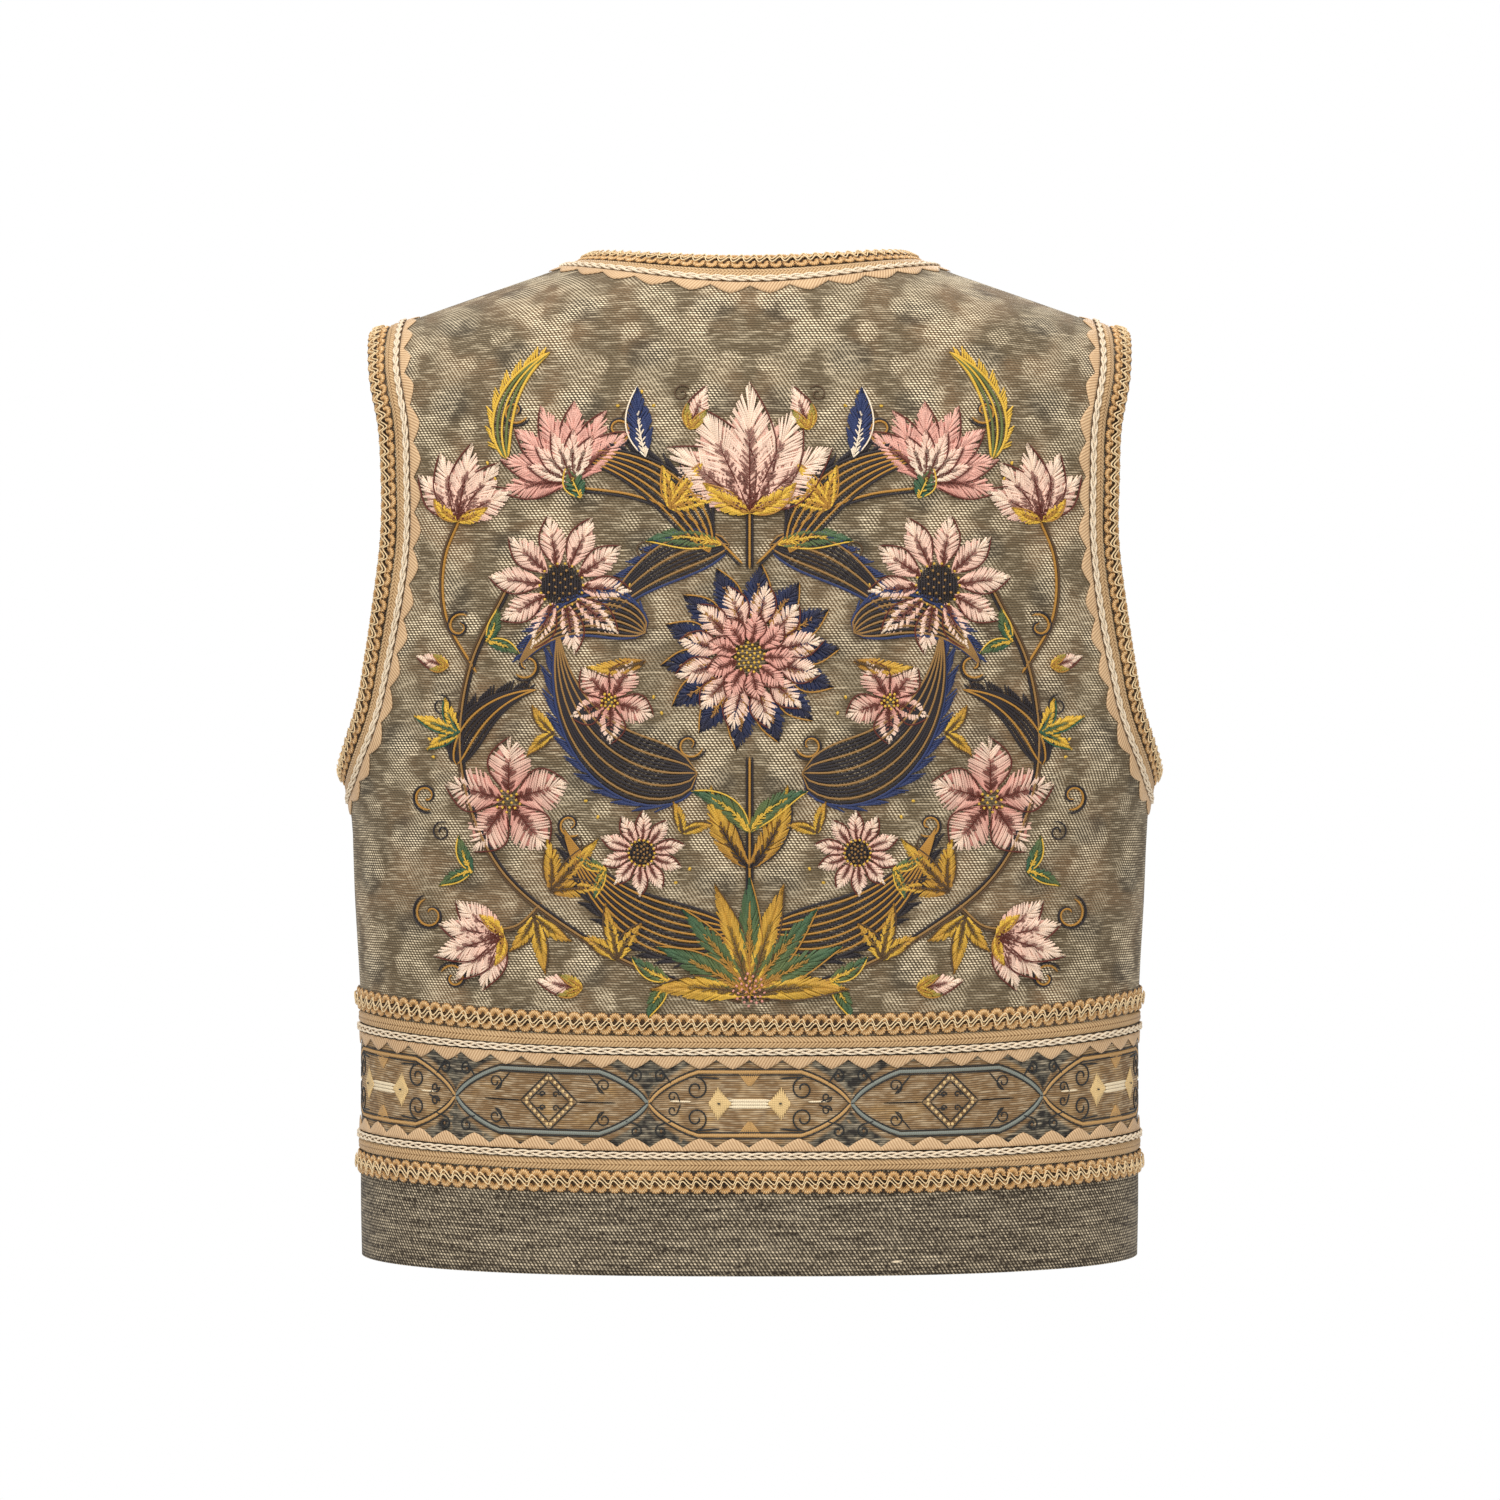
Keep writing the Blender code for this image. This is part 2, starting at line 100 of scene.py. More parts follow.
# Soft troughs of the cloth: side of the body, x and z of both ends, half breadth and depth
creases = [
    (-1, 0.204, -0.292, 0.150, -0.335, 0.010, 0.0011),
    (-1, -0.206, -0.300, -0.160, -0.324, 0.008, 0.0009),
    (-1, 0.186, -0.150, 0.168, -0.215, 0.011, 0.0008),
    (-1, -0.187, -0.128, -0.164, -0.205, 0.012, 0.0009),
    (-1, 0.150, -0.055, 0.105, -0.085, 0.010, 0.0007),
    (-1, -0.146, -0.052, -0.092, -0.070, 0.011, 0.0006),
    (-1, 0.196, -0.365, 0.120, -0.378, 0.008, 0.0006),
    (-1, -0.120, -0.500, -0.060, -0.512, 0.014, 0.0007),
    (-1, 0.150, -0.512, 0.178, -0.470, 0.012, 0.0008),
    (1, 0.196, -0.290, 0.110, -0.345, 0.011, 0.0014),
    (1, -0.194, -0.296, -0.120, -0.330, 0.009, 0.0012),
    (1, 0.165, -0.180, 0.100, -0.245, 0.014, 0.0013),
    (1, -0.160, -0.165, -0.088, -0.250, 0.013, 0.0014),
    (1, 0.120, -0.365, 0.040, -0.372, 0.010, 0.0009),
    (1, -0.140, -0.350, -0.060, -0.376, 0.010, 0.0010),
]


def smooth(heights, values, height):
    # Cubic through a table's points: h00 v0 + h01 v1 + span (h10 s0 + h11 s1), slopes from neighbours
    slopes = np.gradient(values, heights)
    height = np.clip(height, heights[0], heights[-1])
    row = np.clip(np.searchsorted(heights, height, side="right") - 1, 0, len(heights) - 2)
    span = heights[row + 1] - heights[row]
    t = (height - heights[row]) / span
    return (
        values[row] * (1 + 2 * t) * (1 - t) ** 2
        + values[row + 1] * t**2 * (3 - 2 * t)
        + span * slopes[row] * t * (1 - t) ** 2
        - span * slopes[row + 1] * t**2 * (1 - t)
    )


def section(column, height):
    # One column of the sections' table at a height
    return smooth(sections[:, 0], sections[:, column], height)


topHalf = float(section(1, 0.0))
neckRise = form["slope"] * form["neckHalf"] / 2


def ridge(across):
    # Shoulder line: rise (1 - (x / neck)^2) over the neck opening, then -slope (x - neck)
    x = topHalf * np.abs(across)
    over = neckRise * (1 - (x / form["neckHalf"]) ** 2)
    return np.where(x < form["neckHalf"], over, -form["slope"] * (x - form["neckHalf"]))


def sink(fall):
    # Drop below the shoulder line: R (1 - cos b) to a quarter turn, then R (1 + b - pi / 2)
    return form["round"] * np.where(fall < math.pi / 2, 1 - np.cos(fall), 1 + fall - math.pi / 2)


def fallOf(depth):
    # Inverse of sink
    share = np.asarray(depth) / form["round"]
    return np.where(share < 1, np.arccos(1 - np.clip(share, 0, 1)), math.pi / 2 + share - 1)


def bodyPoint(turn, fall):
    # x = W sin a, y = -+ D sqrt(1 - |sin a|^p) sin b, z = ridge - sink
    across = np.sin(turn)
    height = ridge(across) - sink(fall)
    front = np.cos(turn) < 0
    depth = np.where(front, section(3, height), section(2, height))
    bulge = np.sqrt(np.maximum(0, 1 - np.abs(across) ** form["power"]))
    over = np.where(fall < math.pi / 2, np.sin(fall), 1)
    x = section(1, height) * across
    return np.stack([x, np.where(front, 1, -1) * depth * bulge * over, height], axis=-1)


def unit(vectors):
    # Each vector over its own length
    return vectors / np.maximum(np.linalg.norm(vectors, axis=-1, keepdims=True), 1e-12)


def slopesAt(turn, fall):
    # Central differences of bodyPoint along both angles
    nudge = 1e-5
    alongTurn = bodyPoint(turn + nudge, fall) - bodyPoint(turn - nudge, fall)
    alongFall = bodyPoint(turn, fall + nudge) - bodyPoint(turn, fall - nudge)
    return alongTurn / (2 * nudge), alongFall / (2 * nudge)


def outward(turn, fall):
    # Direction out of the body: the slope along the fall crossed with the one along the turn
    alongTurn, alongFall = slopesAt(turn, fall)
    return unit(np.cross(alongFall, alongTurn))


def relief(points):
    # Creases: sum of -depth exp(-(across / b)^2 - (beyond / 2b)^2) over their lines, b their half breadth,
    # with a slow swell s (sin 31x sin(27z + 1) + sin(17x + 2) sin 41z)
    x, y, z = points[..., 0], points[..., 1], points[..., 2]
    out = form["swell"] * (np.sin(31 * x) * np.sin(27 * z + 1) + np.sin(17 * x + 2) * np.sin(41 * z))
    for side, x0, z0, x1, z1, breadth, depth in creases:
        line = np.array([x1 - x0, z1 - z0])
        reach = np.linalg.norm(line)
        along = ((x - x0) * line[0] + (z - z0) * line[1]) / reach
        across = ((x - x0) * line[1] - (z - z0) * line[0]) / reach
        beyond = np.maximum(0, np.maximum(-along, along - reach))
        trough = np.exp(-((across / breadth) ** 2) - (beyond / (2 * breadth)) ** 2)
        out = out - depth * trough * np.clip(side * y / form["creaseFade"], 0, 1)
    return out


def cloth(turn, fall, out=0.0):
    # Points of the cloth, moved out from its face, and the directions out of it
    turn, fall = np.broadcast_arrays(np.asarray(turn, float), np.asarray(fall, float))
    points, normals = bodyPoint(turn, fall), outward(turn, fall)
    return points + normals * (relief(points) + out)[..., None], normals


def placeOf(x, height, front=False):
    # Turn and fall of the point at this x and height: a = asin(x / W), b = fallOf(ridge - z)
    across = np.clip(x / section(1, height), -1, 1)
    turn = np.arcsin(across)
    fall = fallOf(np.maximum(0, ridge(across) - height))
    return np.stack([math.pi - turn if front else turn, fall], axis=-1)


def sideLift(turn, height):
    # How far a level line lifts at the sides: lift share^1.3 |sin a|^3, share 0 at the hem, 1 at the trim
    share = np.clip((height - form["hem"]) / (form["upperTrim"] - form["hem"]), 0, None)
    return form["sideLift"] * share ** form["liftBend"] * np.abs(np.sin(turn)) ** 3


def levelFall(turn, height):
    # Fall of a level line that lifts at the sides
    return fallOf(ridge(np.sin(turn)) - (height + sideLift(turn, height)))


def evenStations(places, count):
    # Places at equal spacing along the cloth, from a fine run of places
    steps = np.linalg.norm(np.diff(bodyPoint(places[:, 0], places[:, 1]), axis=0), axis=1)
    travelled = np.concatenate([[0], np.cumsum(steps)])
    wanted = np.linspace(0, travelled[-1], count + 1)
    return np.stack([np.interp(wanted, travelled, places[:, k]) for k in (0, 1)], axis=-1)


def mirrored(places):
    # The same places on the other side: their turns with the sign changed
    return places * np.array([-1, 1])


def armholeArc(front, count):
    # One side of the armhole, from the underarm up to the shoulder tip: a cubic through its table
    corners = placeOf(armholeRows[:, 2 if front else 1], armholeRows[:, 0], front)
    corners[0, 0], corners[-1, 1] = math.pi / 2, 0.0
    below = [math.pi - corners[1, 0], corners[1, 1]]
    above = [corners[-2, 0], -corners[-2, 1]]
    run = np.vstack([below, corners, above])
    chord = np.linalg.norm(np.diff(bodyPoint(run[:, 0], run[:, 1]), axis=0), axis=1)
    marks = np.concatenate([[0], np.cumsum(chord)])
    samples = np.linspace(marks[1], marks[-2], detail["run"])
    return evenStations(np.stack([smooth(marks, run[:, k], samples) for k in (0, 1)], axis=-1), count)


def neckBackArc(count):
    # x = neck sin t, z = -drop cos^2 t
    angle = np.linspace(0, math.pi / 2, detail["run"])
    x, height = form["neckHalf"] * np.sin(angle), -form["neckBackDrop"] * np.cos(angle) ** 2
    return evenStations(placeOf(x, height), count)


def neckFrontArc(count):
    # x = neck cos^1.15 t, z = -drop sin t, stopped half the opening short of the centre front
    angle = np.linspace(0, math.pi / 2, detail["run"])
    x = form["neckHalf"] * np.cos(angle) ** form["neckPoint"]
    places = placeOf(x, -form["neckFrontDrop"] * np.sin(angle), True)
    centre = math.pi - form["opening"] / 2 / section(1, -form["neckFrontDrop"])
    places[:, 0] = np.minimum(places[:, 0], centre)
    return evenStations(places, count)


def insetLines(stations, tangents, inward, offsets):
    # From each station, places at these distances in over the cloth, square to the edge: midpoint steps
    reach, steps = max(offsets), detail["inset"]
    step = reach / steps

    def heading(places):
        # The way in, square to the edge, as turn and fall for each metre, solved from both slopes
        alongTurn, alongFall = slopesAt(places[:, 0], places[:, 1])
        away = inward * unit(np.cross(unit(np.cross(alongFall, alongTurn)), tangents))
        pairs = ((alongTurn, alongTurn), (alongTurn, alongFall), (alongFall, alongFall),
                 (alongTurn, away), (alongFall, away))
        tt, tf, ff, at, af = [np.sum(a * b, axis=1) for a, b in pairs]
        spread = tt * ff - tf**2
        return np.stack([(ff * at - tf * af) / spread, (tt * af - tf * at) / spread], axis=-1)

    trail = [stations]
    for _ in range(steps):
        middle = trail[-1] + heading(trail[-1]) * step / 2
        trail.append(trail[-1] + heading(middle) * step)
    trail = np.array(trail)
    distances = np.linspace(0, reach, steps + 1)
    lines = np.empty((len(stations), len(offsets), 2))
    for station, column in np.ndindex(len(stations), 2):
        lines[station, :, column] = np.interp(offsets, distances, trail[:, station, column])
    return lines


def armholeLines(offsets, count):
    # Lines in from the right armhole: up the back from the underarm, over, and down the front
    stations = np.vstack([armholeArc(False, count), armholeArc(True, count)[::-1][1:]])
    loop = bodyPoint(stations[:, 0], stations[:, 1])[:-1]
    tangents = unit(np.roll(loop, -1, axis=0) - np.roll(loop, 1, axis=0))
    tangents[0], tangents[count] = (0, -1, 0), (0, 1, 0)
    return insetLines(stations, np.vstack([tangents, tangents[:1]]), 1, offsets)


def neckLines(offsets, backCount, frontCount):
    # Lines down from the neck edge, from the left centre front round the back to the right one
    half = np.vstack([neckBackArc(backCount), neckFrontArc(frontCount)[1:]])
    stations = np.vstack([mirrored(half)[::-1], half[1:]])
    tangents = unit(np.gradient(bodyPoint(stations[:, 0], stations[:, 1]), axis=0))
    tangents[0] = tangents[-1] = (-1, 0, 0)
    tangents[len(half) - 1] = (1, 0, 0)
    tangents[frontCount], tangents[-1 - frontCount] = (0, -1, 0), (0, 1, 0)
    return insetLines(stations, tangents, -1, offsets)


def bandTurns(count):
    # Turns of the columns round the right half: centre back to side, and side to centre front
    middle = (form["upperTrim"] + form["lowerTrim"]) / 2
    centre = math.pi - form["opening"] / 2 / float(section(1, middle))
    quarters = []
    for start, end in ((0, math.pi / 2), (math.pi / 2, centre)):
        turns = np.linspace(start, end, detail["run"])
        places = np.stack([turns, levelFall(turns, middle)], axis=-1)
        quarters.append(evenStations(places, count)[:, 0])
    return quarters


def seamClear(places, front):
    # Draws a panel back from the side seam, the shoulder seam and the front opening by half a gap
    turn, fall = places[..., 0], places[..., 1]
    side = form["gap"] / 2 / (section(2, form["gapLevel"]) * math.sqrt(form["power"] / 2))
    if front:
        height = ridge(np.sin(turn)) - sink(fall)
        turn = np.clip(turn, math.pi / 2 + side, math.pi - form["opening"] / 2 / section(1, height))
    else:
        turn = np.clip(turn, 0, math.pi / 2 - side)
    bulge = np.sqrt(1 - np.abs(np.sin(turn)) ** form["power"])
    shoulder = form["gap"] / 2 / (section(2, 0.0) * bulge)
    return np.stack([turn, np.maximum(fall, shoulder)], axis=-1)


def blendGrid(bottom, top, left, right):
    # Transfinite patch: the blend of left and right, plus what bottom and top add to it
    rise = ((right[:, 1] - right[0, 1]) / (right[-1, 1] - right[0, 1]))[:, None, None]
    span = np.linspace(0, 1, len(bottom))[None, :, None]
    between = (1 - span) * left[:, None] + span * right[:, None]
    low = bottom[None] - ((1 - span) * bottom[0] + span * bottom[-1])
    high = top[None] - ((1 - span) * top[0] + span * top[-1])
    return between + (1 - rise) * low + rise * high


def relaxed(grid):
    # The grid with each inner point moved to the mean of its four neighbours, many times over
    for _ in range(detail["rounds"]):
        grid[1:-1, 1:-1] = (grid[:-2, 1:-1] + grid[2:, 1:-1] + grid[1:-1, :-2] + grid[1:-1, 2:]) / 4
    return grid


def panelBlocks(neck, armhole, turns, seamColumns, sideRows):
    # A panel's patches: the middle, the strip round the neck and the strip round the armhole
    level = form["upperTrim"] - form["seam"] + form["gap"] / 2
    bottom = np.stack([turns, levelFall(turns, level)], axis=-1)
    right = np.vstack([np.linspace(bottom[-1], armhole[0, -1], sideRows + 1), armhole[1:, -1]])
    seam = np.linspace(neck[-1, -1], armhole[-1, -1], seamColumns + 1)
    top = np.vstack([neck[:, -1], seam[1:]])
    rise = (right[:, 1] - right[0, 1]) / (right[-1, 1] - right[0, 1])
    left = bottom[0] + (top[0] - bottom[0]) * rise[:, None]
    return [relaxed(blendGrid(bottom, top, left, right)), neck, armhole]


# Length round a level section of unit half width, against the turn, for the weave's own coordinates. The
# mean section has this depth for its half width, this depth at the shoulders and this half width
mean = {"flat": 0.47, "depth": 0.09, "half": 0.2085}
turnTable = np.linspace(0, math.pi, detail["girth"])
roundTable = np.stack([np.sin(turnTable), mean["flat"] * np.sign(np.cos(turnTable))
                       * np.sqrt(np.maximum(0, 1 - np.sin(turnTable) ** form["power"]))], axis=-1)
girthTable = np.concatenate([[0], np.cumsum(np.linalg.norm(np.diff(roundTable, axis=0), axis=1))])


def weaveOf(places):
    # The weave's coordinates in metres: girth from the centre back, and height, unrolled over the shoulder
    turn, fall = places[..., 0], places[..., 1]
    girth = np.sign(turn) * np.interp(np.abs(turn), turnTable, girthTable) * mean["half"]
    bulge = np.sqrt(np.maximum(0, 1 - np.abs(np.sin(turn)) ** form["power"]))
    angles = np.linspace(0, 1, 9)
    short = np.minimum(fall, math.pi / 2)[..., None]
    steps = short + (math.pi / 2 - short) * angles
    arc = np.hypot(form["round"] * np.sin(steps), mean["depth"] * bulge[..., None] * np.cos(steps))
    unrolled = np.sum((arc[..., 1:] + arc[..., :-1]) / 2 * np.diff(steps, axis=-1), axis=-1)
    height = ridge(np.sin(turn)) - form["round"] * (1 + np.maximum(0, fall - math.pi / 2)) + unrolled
    return np.stack([girth, height], axis=-1)


def levelWeave(places):
    # The same for the band and the hem, whose rows follow the level lines that lift at the sides
    weave = weaveOf(places)
    lifted = sideLift(places[..., 0], weave[..., 1])
    return weave - np.stack([np.zeros_like(lifted), lifted], axis=-1)


def meshOf(name, points, quads, uv, tones=None):
    # An object from arrays of points and four-sided faces, with weave coordinates and tones at its points
    mesh = bpy.data.meshes.new(name)
    points, quads = np.asarray(points, np.float32), np.asarray(quads, np.int32)
    mesh.vertices.add(len(points))
    mesh.vertices.foreach_set("co", points.ravel())
    mesh.loops.add(quads.size)
    mesh.loops.foreach_set("vertex_index", quads.ravel())
    mesh.polygons.add(len(quads))
    mesh.polygons.foreach_set("loop_start", np.arange(len(quads), dtype=np.int32) * quads.shape[1])
    mesh.polygons.foreach_set("use_smooth", np.ones(len(quads), bool))
    layer = mesh.uv_layers.new(name="weave")
    layer.data.foreach_set("uv", np.asarray(uv, np.float32)[quads.ravel()].ravel())
    for key, values in (tones or {}).items():
        kind, field = ("FLOAT", "value") if np.ndim(values) == 1 else ("FLOAT_COLOR", "color")
        layer = mesh.attributes.new(key, kind, "POINT")
        layer.data.foreach_set(field, np.asarray(values, np.float32).ravel())
    mesh.update(calc_edges=True)
    piece = bpy.data.objects.new(name, mesh)
    bpy.context.scene.collection.objects.link(piece)
    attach(piece, "root")
    return piece


def gridQuads(rows, columns, wrap=False, loop=False):
    # Corner numbers of the cells of a grid of points, closed round its columns if it wraps and round its
    # rows if it loops
    i, j = np.meshgrid(np.arange(rows if loop else rows - 1), np.arange(columns if wrap else columns - 1),
                       indexing="ij")
    row, below, after = i * columns, (i + 1) % rows * columns, (j + 1) % columns
    return np.stack([row + j, row + after, below + after, below + j], axis=-1).reshape(-1, 4)


def shell(name, blocks, weave):
    # A thin shell over patches of places: faces out, the same faces a cloth's thickness in, and a rim
    outer, places, quads = [], [], []
    for patch in blocks:
        points, normals = cloth(patch[..., 0], patch[..., 1])
        cells = gridQuads(*patch.shape[:2]) + sum(len(p) for p in outer)
        i, j = patch.shape[0] // 2, patch.shape[1] // 2
        facing = np.cross(points[i, j] - points[i - 1, j], points[i, j] - points[i, j - 1])
        quads.append(cells[:, ::-1] if np.dot(facing, normals[i, j]) > 0 else cells)
        outer.append(points.reshape(-1, 3))
        places.append(patch.reshape(-1, 2))
    outer, places, quads = np.vstack(outer), np.vstack(places), np.vstack(quads)
    _, first, index = np.unique(np.round(outer / detail["weld"]), axis=0, return_index=True,
                                return_inverse=True)
    places, quads = places[first], index.reshape(-1)[quads]
    count = len(places)
    inner, _ = cloth(places[:, 0], places[:, 1], -form["cloth"])
    sides = np.vstack([quads[:, [k, (k + 1) % 4]] for k in range(4)])
    keys = np.sort(sides, axis=1) @ np.array([count, 1])
    _, where, seen = np.unique(keys, return_index=True, return_counts=True)
    rim = sides[where[seen == 1]]
    rims = np.stack([rim[:, 1], rim[:, 0], rim[:, 0] + count, rim[:, 1] + count], axis=-1)
    faces = np.vstack([quads, quads[:, ::-1] + count, rims])
    uv = weave(places)
    return meshOf(name, np.vstack([outer[first], inner]), faces, np.vstack([uv, uv]))


def node(tree, kind, inputs=None, **settings):
    # Adds a shader node, with its settings and its inputs' values or links
    made = tree.nodes.new(kind)
    for key, value in settings.items():
        setattr(made, key, value)
    for key, value in (inputs or {}).items():
        if isinstance(value, bpy.types.NodeSocket):
            tree.links.new(value, made.inputs[key])
        else:
            made.inputs[key].default_value = value
    return made


def reckon(tree, operation, *values, clamp=False):
    # One step of arithmetic between sockets and numbers
    return node(tree, "ShaderNodeMath", dict(enumerate(values)), operation=operation,
                use_clamp=clamp).outputs[0]


def blendColour(tree, share, first, second, blend="MIX"):
    # (1 - share) first + share second, or another blend
    mix = node(tree, "ShaderNodeMix", {0: share, 6: first, 7: second}, data_type="RGBA", blend_type=blend)
    return mix.outputs[2]


def ramp(tree, value, low, high):
    # 0 below low, 1 above high, with a smooth step between
    return node(tree, "ShaderNodeMapRange", {0: value, 1: low, 2: high},
                interpolation_type="SMOOTHSTEP").outputs[0]


def noise(tree, place, scale, octaves=2.0, distortion=0.0):
    # Soft noise of about 0 to 1 over a place
    return node(tree, "ShaderNodeTexNoise", {"Vector": place, "Scale": scale, "Detail": octaves,
                                             "Distortion": distortion}).outputs[0]


def woven(tree):
    # The weave's coordinates at a surface, and their single values
    weave = node(tree, "ShaderNodeUVMap", uv_map="weave").outputs[0]
    return weave, node(tree, "ShaderNodeSeparateXYZ", {0: weave}).outputs


def effect(tree, shared, weave, **values):
    # Places a shared effect in a material, with the material's own values
    return node(tree, "ShaderNodeGroup", {"Weave": weave, **values}, node_tree=shared).outputs


def waveOf(tree, turns):
    # A wave of 0 to 1: (1 + sin(2 pi turns)) / 2
    wave = reckon(tree, "SINE", reckon(tree, "MULTIPLY", turns, 2 * math.pi))
    return reckon(tree, "MULTIPLY_ADD", wave, 0.5, 0.5)


def stain(tree, shader, colour, shade):
    # Gives a shader a colour, darkened by a shade
    grey = node(tree, "ShaderNodeCombineColor", {0: shade, 1: shade, 2: shade}).outputs[0]
    tree.links.new(blendColour(tree, 1.0, colour, grey, "MULTIPLY"), shader.inputs["Base Color"])


def emboss(tree, shader, height, strength, distance):
    # Bumps a shader's normal by a height
    bump = node(tree, "ShaderNodeBump", {"Strength": strength, "Distance": distance, "Height": height})
    tree.links.new(bump.outputs[0], shader.inputs["Normal"])


def group(name, inputs, outputs):
    # An empty shader group with named float or vector sockets, and its inside ends
    tree = bpy.data.node_groups.new(name, "ShaderNodeTree")
    for key, value in inputs.items():
        kind = "NodeSocketVector" if value is None else "NodeSocketFloat"
        socket = tree.interface.new_socket(key, in_out="INPUT", socket_type=kind)
        if value is not None:
            socket.default_value = value
    for key in outputs:
        tree.interface.new_socket(key, in_out="OUTPUT", socket_type="NodeSocketFloat")
    return tree, tree.nodes.new("NodeGroupInput").outputs, tree.nodes.new("NodeGroupOutput").inputs


def linear(red, green, blue):
    # Linear colour from sRGB numbers of 0 to 255
    share = np.array([red, green, blue]) / 255
    value = np.where(share <= 0.04045, share / 12.92, ((share + 0.055) / 1.055) ** 2.4)
    return (*value.tolist(), 1.0)


def finish(name, roughness, sheen=0.0):
    # A material with a Principled shader, its constants set on the shader's own sockets
    made = bpy.data.materials.new(name)
    made.use_nodes = True
    shader = made.node_tree.nodes["Principled BSDF"]
    shader.inputs["Roughness"].default_value = roughness
    shader.inputs["Specular IOR Level"].default_value = 0.25
    shader.inputs["Sheen Weight"].default_value = sheen
    shader.inputs["Sheen Roughness"].default_value = 0.4
    return made, made.node_tree, shader


# Shared effects

def ribsGroup():
    # Weft ribs: height |cos(pi v / pitch)| with a slow wander, and streaks along each rib
    tree, ins, outs = group("ribs", {"Weave": None, "Pitch": 0.00125, "Run": 120.0}, ["Height", "Streaks"])
    xyz = node(tree, "ShaderNodeSeparateXYZ", {0: ins["Weave"]}).outputs
    wander = noise(tree, ins["Weave"], 55.0, 1.0)
    level = reckon(tree, "MULTIPLY_ADD", wander, 1.6, reckon(tree, "DIVIDE", xyz[1], ins["Pitch"]))
    wave = reckon(tree, "ABSOLUTE", reckon(tree, "COSINE", reckon(tree, "MULTIPLY", level, math.pi)))
    row = reckon(tree, "FLOOR", reckon(tree, "ADD", level, 0.5))
    run = node(tree, "ShaderNodeCombineXYZ", {0: reckon(tree, "MULTIPLY", xyz[0], ins["Run"]),
                                              1: reckon(tree, "MULTIPLY", row, 7.3)}).outputs[0]
    streak = noise(tree, run, 1.0)
    tree.links.new(wave, outs["Height"])
    tree.links.new(reckon(tree, "SUBTRACT", streak, 0.5), outs["Streaks"])
    return tree


def specksGroup():
    # Floats: cos(2 pi (x / p + step y / q)) on each row |cos(pi y / q)|, so that each row steps sideways
    sockets = {"Weave": None, "Pitch": 0.0020, "Row": 0.00128, "Step": 0.42}
    tree, ins, outs = group("specks", sockets, ["Speck"])
    xyz = node(tree, "ShaderNodeSeparateXYZ", {0: ins["Weave"]}).outputs
    across = reckon(tree, "DIVIDE", xyz[0], ins["Pitch"])
    row = reckon(tree, "DIVIDE", xyz[1], ins["Row"])
    turn = reckon(tree, "MULTIPLY_ADD", row, ins["Step"], across)
    tilt = reckon(tree, "COSINE", reckon(tree, "MULTIPLY", turn, 2 * math.pi))
    level = reckon(tree, "ABSOLUTE", reckon(tree, "COSINE", reckon(tree, "MULTIPLY", row, math.pi)))
    both = reckon(tree, "MULTIPLY", reckon(tree, "ADD", tilt, 1.0), level)
    tree.links.new(ramp(tree, both, 0.35, 1.25), outs["Speck"])
    return tree


def ogeeGroup():
    # Damask figure, mirrored about the centre: two wavy lattices of lines |x / a +- 0.25 sin(2 pi y / b)|
    # with leaves and roundels between them, a little bent by noise
    tree, ins, outs = group("ogee", {"Weave": None, "Width": 0.066, "Height": 0.096}, ["Figure", "Roundel"])
    bend = reckon(tree, "SUBTRACT", noise(tree, ins["Weave"], 34.0), 0.5)
    bend = reckon(tree, "MULTIPLY", bend, 0.13)
    xyz = node(tree, "ShaderNodeSeparateXYZ", {0: ins["Weave"]}).outputs
    x = reckon(tree, "ADD", reckon(tree, "DIVIDE", reckon(tree, "ABSOLUTE", xyz[0]), ins["Width"]), bend)
    y = reckon(tree, "ADD", reckon(tree, "DIVIDE", xyz[1], ins["Height"]), bend)
    sway = reckon(tree, "MULTIPLY", reckon(tree, "SINE", reckon(tree, "MULTIPLY", y, 2 * math.pi)), 0.25)
    lines = []
    for sign in ("ADD", "SUBTRACT"):
        share = reckon(tree, "FRACT", reckon(tree, sign, x, sway))
        lines.append(reckon(tree, "ABSOLUTE", reckon(tree, "SUBTRACT", share, 0.5)))
    line = ramp(tree, reckon(tree, "MINIMUM", *lines), 0.165, 0.045)
    lobe = reckon(tree, "SINE", reckon(tree, "MULTIPLY", x, 4 * math.pi))
    lobe = reckon(tree, "MULTIPLY", lobe, reckon(tree, "COSINE", reckon(tree, "MULTIPLY", y, 6 * math.pi)))
    leaves = ramp(tree, lobe, 0.32, 0.82)
    across = reckon(tree, "SINE", reckon(tree, "MULTIPLY", x, 2 * math.pi))
    up = reckon(tree, "SINE", reckon(tree, "MULTIPLY", y, 4 * math.pi))
    tree.links.new(reckon(tree, "MAXIMUM", line, leaves), outs["Figure"])
    tree.links.new(ramp(tree, reckon(tree, "MULTIPLY", across, up), 0.25, 0.85), outs["Roundel"])
    return tree


ribs, specks, ogee = ribsGroup(), specksGroup(), ogeeGroup()

brocade = {
    "ground": linear(100, 85, 62),
    "dark": linear(60, 54, 44),
    "pale": linear(240, 220, 184),
    "warm": linear(138, 106, 74),
    "surface": (0.82, 0.12),
    "cloudScale": 14.0,
    "patchScale": 26.0,
    "patches": 0.55,
    "roundels": 0.55,
    "floats": (0.76, 0.15),
    "streaks": 1.6,
    "shade": (0.95, 0.36),
    "bump": (0.6, 0.0004),
}


